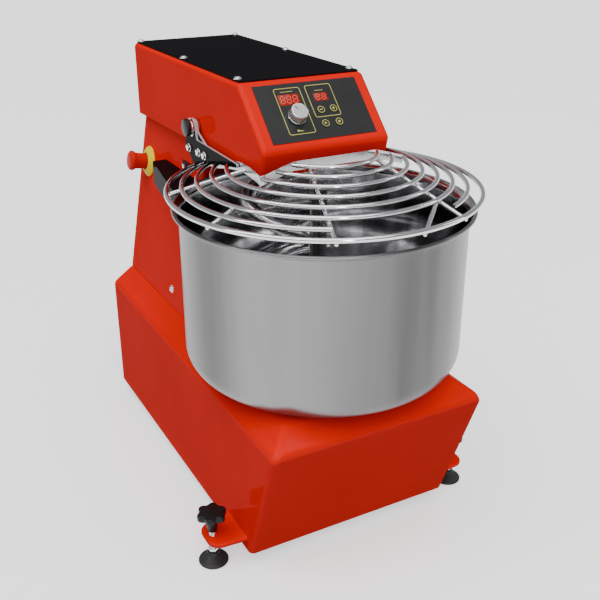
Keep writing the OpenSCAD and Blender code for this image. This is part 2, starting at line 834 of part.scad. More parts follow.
module bowl_hub() {
    flange_h = 12;
    low = bowl_bottom_z - flange_h;
    shaft_low = bowl_bearings_z[0] - 2;
    color(dark_steel) {
        at_bowl(low) difference() {
            cylinder(r = 55, h = flange_h);
            for (a = [0:60:300]) rotate(a) translate([42, 0, -1]) cylinder(r = 4.3, h = flange_h - 2);
        }
        at_bowl(shaft_low) cylinder(r = bowl_shaft_r, h = low - shaft_low + 0.5);
    }
}

module bowl_pulley() {
    h = belt_h + 2 * pulley_lip + 1;
    color(dark_steel) at_bowl(lower_belt_z) difference() {
        cylinder(r = bowl_pulley_r, h = h);
        translate([0, 0, 10]) ring_solid(bowl_pulley_r - 10, 38, h);
        translate([0, 0, -1]) cylinder(r = bowl_shaft_r + 0.02, h = h + 2);
        for (a = [0:60:300]) rotate(a) translate([92, 0, -1]) cylinder(r = 30, h = h + 2);
    }
}

module spiral_hook() {
    pts = [for (i = [0:hook_rings]) each hook_ring(i / hook_rings)];
    walls = [for (i = [0:hook_rings - 1], k = [0:hook_sides - 1])
        let (a = i * hook_sides + k, b = i * hook_sides + (k + 1) % hook_sides)
        each [[a, a + hook_sides, b], [b, a + hook_sides, b + hook_sides]]];
    first = [for (k = [1:hook_sides - 2]) [0, k, k + 1]];
    base = hook_rings * hook_sides;
    last = [for (k = [1:hook_sides - 2]) [base, base + k + 1, base + k]];
    color(steel) translate([0, spiral_y, 0]) polyhedron(pts, concat(walls, first, last));
}

module spiral_shaft() {
    hub_low = 575;
    hub_h = 29;
    color(steel) {
        at_spiral(hub_low) cylinder(r = 25, h = hub_h);
        at_spiral(hub_low + hub_h - 1) cylinder(r = spiral_shaft_r, h = upper_belt_z + 34 - hub_low - hub_h);
    }
}

module pulley(r, bore_r) {
    h = belt_h + 1;
    difference() {
        union() {
            cylinder(r = r, h = h + 2 * pulley_lip);
            cylinder(r = r + pulley_lip_h, h = pulley_lip);
            translate([0, 0, h + pulley_lip]) cylinder(r = r + pulley_lip_h, h = pulley_lip);
        }
        translate([0, 0, -1]) cylinder(r = bore_r + 0.02, h = h + 10);
    }
}

module spiral_pulley() {
    color(dark_steel) at_spiral(upper_belt_z) pulley(upper_pulley_r, spiral_shaft_r);
}

module drive_shaft() {
    low = lower_belt_z - 8;
    color(steel) at_drive(low) cylinder(r = drive_r, h = upper_belt_z + 34 - low);
}

module drive_pulleys() {
    color(dark_steel) {
        at_drive(upper_belt_z) pulley(upper_pulley_r, drive_r);
        at_drive(lower_belt_z) pulley(lower_pulley_r, drive_r);
    }
}

module guard_arc(r, d, from, sweep) {
    at_bowl(cone_z(r)) rotate(from) rotate_extrude(angle = sweep, $fn = 128)
        translate([r, 0]) circle(d = d, $fn = 24);
}

module guard_rings() {
    weld_in = 1.5;
    color(steel) for (i = [0:ring_count - 1]) {
        r = ring_r(i);
        end_a = ring_end_a(r);
        poke = weld_in / r * 180 / PI;
        from = 180 - end_a - poke;
        sweep = 180 + 2 * (end_a + poke);
        if (i == 1) {
            guard_arc(r, inner_wire, from, 360 + ring_gap_a[0] - from);
            guard_arc(r, inner_wire, ring_gap_a[1], end_a + poke - ring_gap_a[1]);
        } else {
            guard_arc(r, i == 0 ? outer_wire : inner_wire, from, sweep);
        }
    }
}

module guard_bar(from_r, from_a, to_r, to_a) {
    rod(polar(from_r, from_a, ring_bar_z(from_r)), polar(to_r, to_a, ring_bar_z(to_r)), bar_wire);
}

module guard_bars() {
    color(steel) {
        for (a = front_bars_a) guard_bar(ring_r(ring_count - 1), a[0], guard_r, a[1]);
        for (a = side_bars_a) guard_bar(side_bar_r, a[0], guard_r, a[1]);
        guard_bar(ring_r(2), left_bar_a, guard_r, left_bar_a);
        guard_bar(ring_r(2), brace_a[0], guard_r, brace_a[1]);
    }
}

module arm_bolt_places() {
    for (b = arm_bolts) translate([arm_x, pivot_y + b.x, pivot_z + b.y]) rotate([0, 90, 0]) children();
}

module guard_strip() {
    near = 30;
    far = 300;
    flat_z = cone_z(strip_flat_r);
    color(steel) intersection() {
        at_bowl(guard_z - 30) linear_extrude(140) difference() {
            polygon(inset(strip_plan(strip_back), -strip_t / 2));
            polygon(inset(strip_plan(strip_back + 20), strip_t / 2));
        }
        at_bowl(0) rotate_extrude($fn = 128) polygon([
            [near, flat_z - strip_below], [strip_flat_r, flat_z - strip_below],
            [far, cone_z(far) - strip_below], [far, cone_z(far) + strip_above],
            [strip_flat_r, flat_z + strip_above], [near, flat_z + strip_above]]);
    }
}

module guard_arms() {
    color(gloss_black) both_sides() difference() {
        translate([arm_x, pivot_y, pivot_z]) rotate([90, 0, 90]) linear_extrude(arm_t) {
            circle(arm_eye_r);
            polygon(arm_outline);
        }
        at_pivot(arm_x - 1) cylinder(r = guard_shaft_d / 2 + 0.02, h = arm_t + 2);
        arm_bolt_places() translate([0, 0, -1]) cylinder(r = 2.7, h = arm_t + 2);
    }
}

module guard_shaft() {
    end_x = cap_x + 4;
    color(steel) {
        at_pivot(-end_x) cylinder(d = guard_shaft_d, h = 2 * end_x);
        at_pivot(cam_x) difference() {
            cylinder(r = cam_r, h = 12);
            translate([-cam_r - 6, -cam_r, -1]) cube([12, 2 * cam_r, 14]);
        }
    }
    color(gloss_black) both_sides() difference() {
        translate([lever_x, pivot_y, pivot_z]) rotate([90, 0, 90]) linear_extrude(lever_t) {
            circle(lever_eye_r);
            polygon(lever_outline);
        }
        at_pivot(lever_x - 1) cylinder(r = guard_shaft_d / 2 + 0.02, h = lever_t + 2);
        arm_bolt_places() translate([0, 0, -lever_t - 1]) cylinder(r = 2.5 + running, h = lever_t + 2);
    }
}

module guard_caps() {
    color(gloss_black) both_sides() at_pivot(cap_x) difference() {
        cylinder(r = 15, h = 7);
        translate([0, 0, -1]) cylinder(r = guard_shaft_d / 2 + 0.02, h = 5.2);
    }
}

module guard_bolts() {
    color(steel) both_sides() {
        at_pivot(arm_x + arm_t + running)
            ring_solid(12, guard_shaft_d / 2 + 0.02, cap_x - arm_x - arm_t - 2 * running);
        arm_bolt_places() translate([0, 0, arm_t]) dome_screw(5, 3.5, 2.5, arm_t + lever_t - 0.5);
    }
}

module stop_button() {
    cap_h = 9;
    color([0.85, 0.08, 0.06]) on_column(stop_place) {
        translate([0, 0, -16]) cylinder(r = 5, h = 30);
        translate([0, 0, collar_h - easy]) cylinder(r = skirt_r, h = mushroom_z - collar_h + 1);
        translate([0, 0, mushroom_z]) cylinder(r1 = skirt_r, r2 = stop_r, h = 6);
        translate([0, 0, mushroom_z + 5.5]) rotate_extrude() intersection() {
            translate([0, cap_h - stop_r * 1.6]) circle(stop_r * 1.6);
            square([stop_r, cap_h]);
        }
    }
}

module speed_knob() {
    low = overlay_t + 0.5;
    color(steel) on_panel(knob_at) {
        translate([0, 0, -14]) cylinder(r = 3, h = 16);
        translate([0, 0, low]) cylinder(r = knob_r, h = 4);
        translate([0, 0, low + 3.9]) cylinder(r1 = knob_r - 1, r2 = knob_r - 2, h = 13);
    }
}

module key(at) {
    color([0.20, 0.20, 0.21]) on_panel(at) {
        translate([0, 0, -6]) cylinder(r = key_r, h = 8);
        translate([0, 0, -10]) cylinder(r = 3, h = 5);
    }
}

module minus_key() {
    key(minus_at);
}

module plus_key() {
    key(plus_at);
}

module start_key() {
    key(start_at);
}

module stop_key() {
    key(stop_at);
}

module foot_screw(x) {
    lobe_h = 13;
    lobe_r = 6.5;
    lobes = 6;
    boss_z = 62;
    tip_z = 9;
    tip_r = 5;
    neck_z = 21;
    lobe_z = knob_top_z - lobe_h;
    color(gloss_black) translate([x, foot_y, 0]) {
        translate([0, 0, tip_z]) cylinder(r = tip_r, h = neck_z - tip_z + 1);
        translate([0, 0, neck_z]) cylinder(d = screw_d, h = lobe_z - neck_z);
        translate([0, 0, boss_z]) cylinder(r1 = 8, r2 = 14, h = lobe_z - boss_z + 1);
        translate([0, 0, lobe_z]) linear_extrude(lobe_h) {
            circle(star_r - lobe_r + 1);
            for (i = [0:lobes - 1]) rotate(360 * i / lobes) translate([star_r - lobe_r, 0]) circle(lobe_r);
        }
    }
}

module left_foot_screw() {
    foot_screw(-foot_x);
}

module right_foot_screw() {
    foot_screw(foot_x);
}

module foot_pad(x) {
    color(rubber) translate([x, foot_y, 0]) difference() {
        rotate_extrude() polygon([[0, 0], [pad_r - 1, 0], [pad_r, 1], [pad_r, 3.5], [pad_r - 2, 5],
            [10, 17], [10, 20], [0, 20]]);
        translate([0, 0, 8]) cylinder(r = 5 + running, h = 20);
    }
}

module left_foot_pad() {
    foot_pad(-foot_x);
}

module right_foot_pad() {
    foot_pad(foot_x);
}

module wheel(x, y, r) {
    color(rubber) wheel_place(x, y) translate([0, 0, -wheel_w / 2]) difference() {
        cylinder(r = r, h = wheel_w);
        translate([0, 0, -1]) cylinder(r = axle_r + running, h = wheel_w + 2);
        for (z = [-1, wheel_w - 4]) translate([0, 0, z]) ring_solid(r - 6, axle_r + 5, 5);
    }
}

module rear_left_wheel() {
    wheel(-wheel_x, rear_wheel_y, wheel_r);
}

module rear_right_wheel() {
    wheel(wheel_x, rear_wheel_y, wheel_r);
}

module front_left_wheel() {
    wheel(-wheel_x, front_wheel_y, wheel_r - front_lift);
}

module front_right_wheel() {
    wheel(wheel_x, front_wheel_y, wheel_r - front_lift);
}

base_shell();
base_plate();
column_shell();
rear_cover();
rear_cover_screws();
head_shell();
head_floor();
top_plate();
top_plate_screws();
control_overlay();
display_windows();
bowl_shield();
side_bolts();
breaker_bar();
spiral_bearing_housing();
spiral_seal();
bowl_bearing_housing();
ball_bearings();
motor_housing();
gearbox_housing();
motor_shelf();
upper_belt();
lower_belt();
inverter_box();
control_board();
guard_switch();
cable_gland();
foot_lugs();
wheel_brackets();
stop_disc();
stop_housing();
bowl();
bowl_hub();
bowl_pulley();
spiral_hook();
spiral_shaft();
spiral_pulley();
drive_shaft();
drive_pulleys();
guard_rings();
guard_bars();
guard_strip();
guard_arms();
guard_shaft();
guard_caps();
guard_bolts();
stop_button();
speed_knob();
minus_key();
plus_key();
start_key();
stop_key();
left_foot_screw();
right_foot_screw();
left_foot_pad();
right_foot_pad();
rear_left_wheel();
rear_right_wheel();
front_left_wheel();
front_right_wheel();
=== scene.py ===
"""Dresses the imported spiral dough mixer: rounded paintwork, steel bowl, wire guard, controls and feet."""

import json
import math

import bmesh
import bpy
from bmesh.types import BMEdge, BMVert
from bpy.props import FloatProperty, FloatVectorProperty, IntProperty, PointerProperty
from bpy.types import Operator, Panel, PropertyGroup
from mathutils import Matrix, Vector


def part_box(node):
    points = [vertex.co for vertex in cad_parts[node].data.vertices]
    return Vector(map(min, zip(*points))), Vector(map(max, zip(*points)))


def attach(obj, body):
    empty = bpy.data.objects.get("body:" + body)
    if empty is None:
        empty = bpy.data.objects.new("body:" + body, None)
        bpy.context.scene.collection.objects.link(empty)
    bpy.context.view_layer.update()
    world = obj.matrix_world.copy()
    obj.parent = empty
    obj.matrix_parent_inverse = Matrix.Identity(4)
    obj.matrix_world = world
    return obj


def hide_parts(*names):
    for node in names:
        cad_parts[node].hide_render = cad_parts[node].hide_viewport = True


bl_info = {
    "name": "Spiral Dough Mixer",
    "version": (1, 0, 0),
    "blender": (4, 5, 0),
    "location": "View3D > Sidebar > Mixer",
    "description": "Builds the visible pieces of a spiral dough mixer around its packed frame",
    "category": "Object",
}

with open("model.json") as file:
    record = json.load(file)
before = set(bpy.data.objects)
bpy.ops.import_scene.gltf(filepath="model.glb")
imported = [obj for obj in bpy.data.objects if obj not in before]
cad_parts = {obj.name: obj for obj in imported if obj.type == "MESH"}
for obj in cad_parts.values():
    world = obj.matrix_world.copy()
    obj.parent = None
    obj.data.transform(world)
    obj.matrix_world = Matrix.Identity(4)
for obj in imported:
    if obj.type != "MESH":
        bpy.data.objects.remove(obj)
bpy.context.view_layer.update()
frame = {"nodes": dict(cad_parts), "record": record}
MM = 0.001


def node_box(node):
    """Lowest and highest corner of a CAD node, in millimetres."""
    return [Vector(corner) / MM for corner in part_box(node)]


# Places and sizes shared with the solids, in millimetres: bowl and spiral
BOWL_LOW, BOWL_HIGH = node_box("bowl")
BOWL_Y = (BOWL_LOW.y + BOWL_HIGH.y) / 2
SPIRAL_Y = BOWL_Y + 126.0

# Sheet-metal base, column and head
SHEET = 3.0
BASE_LOW, BASE_HIGH = node_box("base_shell")
BASE_HALF = BASE_HIGH.x
BASE_TOP_HALF = 149.5
BASE_WALL_Z = 260.0
BASE_TOP_Z = BASE_HIGH.z
BASE_TOE_Y = BOWL_Y - 108.0
BASE_BROW_Y = BOWL_Y - 152.0
REAR_Y = BASE_HIGH.y
COLUMN_FRONT_Y = BOWL_Y + 250.0
COLUMN_TOP_HALF = 91.5
COLUMN_TOP_Z = 622.0
COLUMN_RUN = (BASE_TOP_HALF - COLUMN_TOP_HALF) / (COLUMN_TOP_Z - BASE_TOP_Z)
COLUMN_ANGLE = math.atan(COLUMN_RUN)
HEAD_HALF = 111.0
HEAD_REAR_Y = BOWL_Y + 550.0
HEAD_TOP_Y = BOWL_Y + 72.0
HEAD_TOP_Z = 747.0
HEAD_HEEL_Z = 613.0
HEAD_LIP = Vector((0.0, BOWL_Y - 14.5, 660.0))
HEAD_NOSE = Vector((0.0, BOWL_Y - 3.0, 620.0))

# Wire guard, the strip round the head, and the hinge; the second ring's gap is in degrees
GUARD_R = 243.0
GUARD_Z = 592.5
GUARD_SLOPE = 0.32
RINGS = 8
RING_STEP = 23.2
RING_GAP = (243.0, -63.3)
STRIP_X = 118.3
STRIP_FRONT = 34.0
STRIP_FRONT_X = 125.4
STRIP_TURN = 50.0
STRIP_BACK = 165.0
STRIP_T = 2.5
STRIP_FLAT_R = 80.0
PIVOT = Vector((0.0, BOWL_Y + 234.0, 649.5))
PIVOT_SHAFT_R = 8.0
ARM_X = 119.4
ARM_T = 4.0
ARM_BOLTS = ((14, -38), (-28, -37), (-53, -37))

# Bolts and the emergency stop on the column's sides, as (distance behind the bowl's axis, height), and feet
SHIELD_BOLT_AT = (321.0, 556.0)
COLUMN_SCREW_AT = (325.0, 321.0)
STOP_AT = (508.5, 522.0)
STOP_HOLE_R = 11.3
FOOT_X = 239.0
FOOT_Y = BOWL_Y - 62.5
LUG_LOW, LUG_HIGH = 46.0, 53.0

# Controls, on the head's slanted face; a window is its lower left corner, width and height
PANEL_ANGLE = math.atan2(HEAD_TOP_Z - HEAD_LIP.z, HEAD_TOP_Y - HEAD_LIP.y)
PANEL = Matrix.Translation(HEAD_LIP) @ Matrix.Rotation(PANEL_ANGLE, 4, "X")
KNOB_AT = (-36.0, 54.0)
KEYS_AT = {"minus": (9.3, 61.6), "plus": (31.2, 61.6), "start": (8.0, 37.3), "stop": (32.0, 37.3)}
WINDOWS = {"speed": (-54.5, 76.0, 35.5, 19.0), "timer": (6.5, 77.5, 23.5, 14.5)}
WINDOW_DIGITS = {"speed": 3, "timer": 2}
OVERLAY_TOP = 0.8
PRINT_T = 0.12
PRINT_SINK = 0.02

# The photo's camera: place in metres, turn and tilt in degrees, focal length in pixels
CAMERA_AT = (-0.655, -1.2968, 0.9941)
CAMERA_TURN = 28.41
CAMERA_TILT = 24.54
CAMERA_FOCUS = 872.27
PHOTO_WIDTH = 600.0
SENSOR_WIDTH = 36.0

X_AXIS = Vector((1.0, 0.0, 0.0))
UP = Vector((0.0, 0.0, 1.0))
DOWN = -UP


def at(x=0.0, y=0.0, z=0.0):
    """Frame at a point, unturned."""
    return Matrix.Translation((x, y, z))


def column_half(z):
    """Half the column's width at a height."""
    return BASE_TOP_HALF - (z - BASE_TOP_Z) * COLUMN_RUN


def on_column(back, z):
    """Frame on the column's left face, its Z axis pointing out of the face."""
    return at(-column_half(z), BOWL_Y + back, z) @ Matrix.Rotation(COLUMN_ANGLE - math.pi / 2, 4, "Y")


def at_pivot(x, y=0.0, z=0.0):
    """Frame measured from the guard's pivot, its Z axis along the machine's X axis."""
    return at(x, PIVOT.y + y, PIVOT.z + z) @ Matrix.Rotation(math.pi / 2, 4, "Y")


# Outlines: lists of points in a plane

def arc(x, y, radius, start, step, count):
    """Points on a circle; angles in degrees."""
    angles = [math.radians(start + step * i) for i in range(count)]
    return [(x + radius * math.cos(a), y + radius * math.sin(a)) for a in angles]


def rectangle(x, y, width, height):
    """Corner points of a rectangle."""
    return [(x, y), (x + width, y), (x + width, y + height), (x, y + height)]


def rounded_outline(points, radius, steps=6):
    """Corner points of a flat outline, each corner rounded."""
    bm = flat_face(points)
    bevel(bm, bm.verts[:], radius, steps, affect="VERTICES")
    face = max(bm.faces, key=lambda f: f.calc_area())
    outline = [(v.co.x, v.co.y) for v in face.verts]
    bm.free()
    return outline


# Shaping tools: every bmesh is in millimetres until it becomes a piece

def verts_of(geom):
    """The vertices among an operator's results."""
    return [g for g in geom if isinstance(g, BMVert)]


def upright(edge):
    """Whether an edge runs along Z."""
    return abs((edge.verts[0].co - edge.verts[1].co).normalized().z) > 0.9


def sharp_edges(bm, least=20.0, test=None):
    """Edges where two faces meet at more than an angle."""
    limit = math.radians(least)
    return [e for e in bm.edges if len(e.link_faces) == 2 and e.calc_face_angle() > limit
            and (test is None or test(e))]


def bevel(bm, geom, radius, segments, affect="EDGES"):
    """Round some edges or corners."""
    bmesh.ops.bevel(bm, geom=geom, offset=radius, offset_type="OFFSET", segments=segments, profile=0.5,
                    affect=affect, material=-1, clamp_overlap=True)
    return bm


def round_edges(bm, radius, segments=3, least=20.0, test=None):
    """Round the sharp edges."""
    return bevel(bm, sharp_edges(bm, least, test), radius, segments)


def placed(bm, matrix):
    """Move a bmesh by a matrix."""
    bmesh.ops.transform(bm, matrix=matrix, verts=bm.verts)
    if matrix.determinant() < 0:
        bmesh.ops.reverse_faces(bm, faces=bm.faces)
    return bm


def lifted(bm, z):
    """Move a bmesh up."""
    return placed(bm, at(z=z))


def joined(shapes):
    """Several bmeshes as one."""
    whole = bmesh.new()
    carrier = bpy.data.meshes.new("carrier")
    for shape in shapes:
        shape.to_mesh(carrier)
        whole.from_mesh(carrier)
        shape.free()
    bpy.data.meshes.remove(carrier)
    return whole


def mirrored(bm):
    """A bmesh and its mirror image across the machine's middle."""
    return joined([bm.copy(), placed(bm, Matrix.Scale(-1, 4, X_AXIS))])


def new_object(name, bm):
    """Object with a bmesh as its mesh, linked into the scene."""
    mesh = bpy.data.meshes.new(name)
    bm.to_mesh(mesh)
    bm.free()
    obj = bpy.data.objects.new(name, mesh)
    bpy.context.scene.collection.objects.link(obj)
    return obj


def cut(bm, cutters):
    """Cut closed shapes out of a closed shape."""
    body = new_object("cut_body", bm)
    tool = new_object("cut_tool", joined(cutters))
    step = body.modifiers.new("Cut", "BOOLEAN")
    step.operation = "DIFFERENCE"
    step.solver = "EXACT"
    step.use_self = True
    step.object = tool
    bpy.context.view_layer.update()
    result = bmesh.new()
    result.from_object(body, bpy.context.evaluated_depsgraph_get())
    for obj in (body, tool):
        mesh = obj.data
        bpy.data.objects.remove(obj)
        bpy.data.meshes.remove(mesh)
    return result


def hull(points):
    """Closed flat-sided body round a few corner points."""
    bm = bmesh.new()
    for point in points:
        bm.verts.new(point)
    made = bmesh.ops.convex_hull(bm, input=bm.verts)
    bmesh.ops.delete(bm, geom=verts_of(made["geom_interior"]), context="VERTS")
    bmesh.ops.dissolve_limit(bm, angle_limit=0.01, verts=bm.verts, edges=bm.edges)
    bmesh.ops.recalc_face_normals(bm, faces=bm.faces)
    return bm


def block(low, high):
    """Box between two corners."""
    bm = bmesh.new()
    low, high = Vector(low), Vector(high)
    bmesh.ops.create_cube(bm, size=1.0)
    bmesh.ops.scale(bm, vec=high - low, verts=bm.verts)
    bmesh.ops.translate(bm, vec=(low + high) / 2, verts=bm.verts)
    return bm


def cylinder(radius, low, high, sides=48):
    """Plain bar or cutter along Z; with six sides, a hexagon one."""
    bm = bmesh.new()
    bmesh.ops.create_cone(bm, cap_ends=True, segments=sides, radius1=radius, radius2=radius, depth=high - low)
    bmesh.ops.translate(bm, vec=(0, 0, (low + high) / 2), verts=bm.verts)
    return bm


def turned(profile, steps=48, closed=False):
    """Body of revolution round Z from (radius, height) points."""
    bm = bmesh.new()
    verts = [bm.verts.new((r, 0.0, z)) for r, z in profile]
    edges = [bm.edges.new(pair) for pair in zip(verts, verts[1:])]
    if closed:
        edges.append(bm.edges.new((verts[-1], verts[0])))
    bmesh.ops.spin(bm, geom=verts + edges, cent=(0, 0, 0), axis=(0, 0, 1), angle=math.tau, steps=steps,
                   use_merge=True)
    bmesh.ops.remove_doubles(bm, verts=bm.verts, dist=1e-3)
    bmesh.ops.recalc_face_normals(bm, faces=bm.faces)
    return bm


def flat_face(outline, z=0.0):
    """Single face with an outline of (x, y) points."""
    bm = bmesh.new()
    bm.faces.new([bm.verts.new((x, y, z)) for x, y in outline])
    return bm


def raised(bm, height):
    """Raise flat faces along Z into a solid."""
    made = bmesh.ops.extrude_face_region(bm, geom=bm.faces[:])["geom"]
    bmesh.ops.translate(bm, vec=(0, 0, height), verts=verts_of(made))
    bmesh.ops.recalc_face_normals(bm, faces=bm.faces)
    return bm


def plate(outline, thickness):
    """Flat outline of (x, y) points, raised along Z."""
    return raised(flat_face(outline), thickness)


def printed(outline, top, thickness=PRINT_T):
    """Printed shape on a surface, sunk into it a little."""
    return lifted(plate(outline, thickness), top - PRINT_SINK)


def printed_frame(outline, width, top):
    """Printed line that runs just inside an outline."""
    bm = flat_face(outline, top - PRINT_SINK)
    (face,) = bm.faces
    face.normal_update()
    bmesh.ops.inset_region(bm, faces=[face], thickness=width, use_even_offset=True, use_boundary=True)
    bmesh.ops.delete(bm, geom=[face], context="FACES")
    return raised(bm, PRINT_T + PRINT_SINK)


def swept(path, radii, sides):
    """Round bar along a path of points, with a radius at each."""
    bm = bmesh.new()
    ring = bmesh.ops.create_circle(bm, cap_ends=True, radius=1.0, segments=sides)["verts"]
    edges = list({e for v in ring for e in v.link_edges})
    pose = Matrix.Identity(4)
    side = UP.orthogonal()
    for i, (point, radius) in enumerate(zip(path, radii)):
        along = (path[min(i + 1, len(path) - 1)] - path[max(i - 1, 0)]).normalized()
        if side.cross(along).length > 1e-6:
            side = (side - along * side.dot(along)).normalized()
        else:
            side = along.orthogonal()
        turn = Matrix((side, along.cross(side), along)).transposed().to_4x4()
        target = Matrix.Translation(point) @ turn @ Matrix.Diagonal((radius, radius, 1.0, 1.0))
        if i:
            made = bmesh.ops.extrude_edge_only(bm, edges=edges)["geom"]
            ring = verts_of(made)
            edges = [g for g in made if isinstance(g, BMEdge) and all(v in ring for v in g.verts)]
        bmesh.ops.transform(bm, matrix=target @ pose.inverted(), verts=ring)
        pose = target
    bmesh.ops.holes_fill(bm, edges=edges, sides=sides)
    bmesh.ops.recalc_face_normals(bm, faces=bm.faces)
    return bm


def wire_arc(radius, z, wire, start, sweep):
    """Bent wire round the bowl's axis, its ends closed; angles in degrees."""
    sides = 16
    spacing = 420.0  # millimetres times degrees between two rings of points along the wire
    bm = bmesh.new()
    made = bmesh.ops.create_circle(bm, cap_ends=False, radius=wire / 2, segments=sides)["verts"]
    place = (at(y=BOWL_Y, z=z) @ Matrix.Rotation(math.radians(start), 4, "Z") @ at(radius)
             @ Matrix.Rotation(math.pi / 2, 4, "X"))
    bmesh.ops.transform(bm, matrix=place, verts=made)
    bmesh.ops.spin(bm, geom=bm.verts[:] + bm.edges[:], cent=(0, BOWL_Y, z), axis=(0, 0, 1),
                   angle=math.radians(sweep), steps=max(8, int(abs(sweep) * radius / spacing)))
    bmesh.ops.holes_fill(bm, edges=[e for e in bm.edges if e.is_boundary], sides=sides)
    bmesh.ops.recalc_face_normals(bm, faces=bm.faces)
    return bm


def open_side(bm, direction):
    """Take away the faces that look one way."""
    faces = [f for f in bm.faces if f.normal.dot(direction) > 0.95]
    bmesh.ops.delete(bm, geom=faces, context="FACES")
    return bm


def sheet_shell(bm, openings, radius):
    """Sheet-metal shell with rounded edges from a closed body, open on some sides."""
    for direction in openings:
        open_side(bm, direction)
    round_edges(bm, radius, segments=6, least=5.0)
    bmesh.ops.solidify(bm, geom=bm.faces[:], thickness=SHEET)
    return bm


def domed_screw(radius, height, washer_r):
    """Dome head with a hexagon socket, on a thin washer that stands on Z = 0."""
    washer_t, steps = 1.0, 7
    profile = [(0.0, 0.0), (washer_r, 0.0), (washer_r, 0.7), (washer_r - 0.3, washer_t), (radius, washer_t)]
    for i in range(1, steps):
        a = math.radians(90.0 * i / steps)
        profile.append((radius * math.cos(a) ** 0.7, washer_t + height * math.sin(a)))
    profile.append((0.0, washer_t + height))
    socket = cylinder(radius * 0.42, washer_t + height * 0.55, washer_t + height * 1.55, sides=6)
    return cut(turned(profile, steps=28), [socket])


def hex_head(radius, height):
    """Hexagon bolt head with rounded corners, standing on Z = 0."""
    return round_edges(cylinder(radius, 0.0, height, sides=6), radius * 0.08, segments=2)


# Finishes: one procedural material for each of the record's slots, and a few that go with them

EVEN = (1.0, 1.0, 1.0)
PANEL_FILM = dict(tint=0.12, grain=3500.0, bump=0.10, depth=0.0001, spec=0.3)
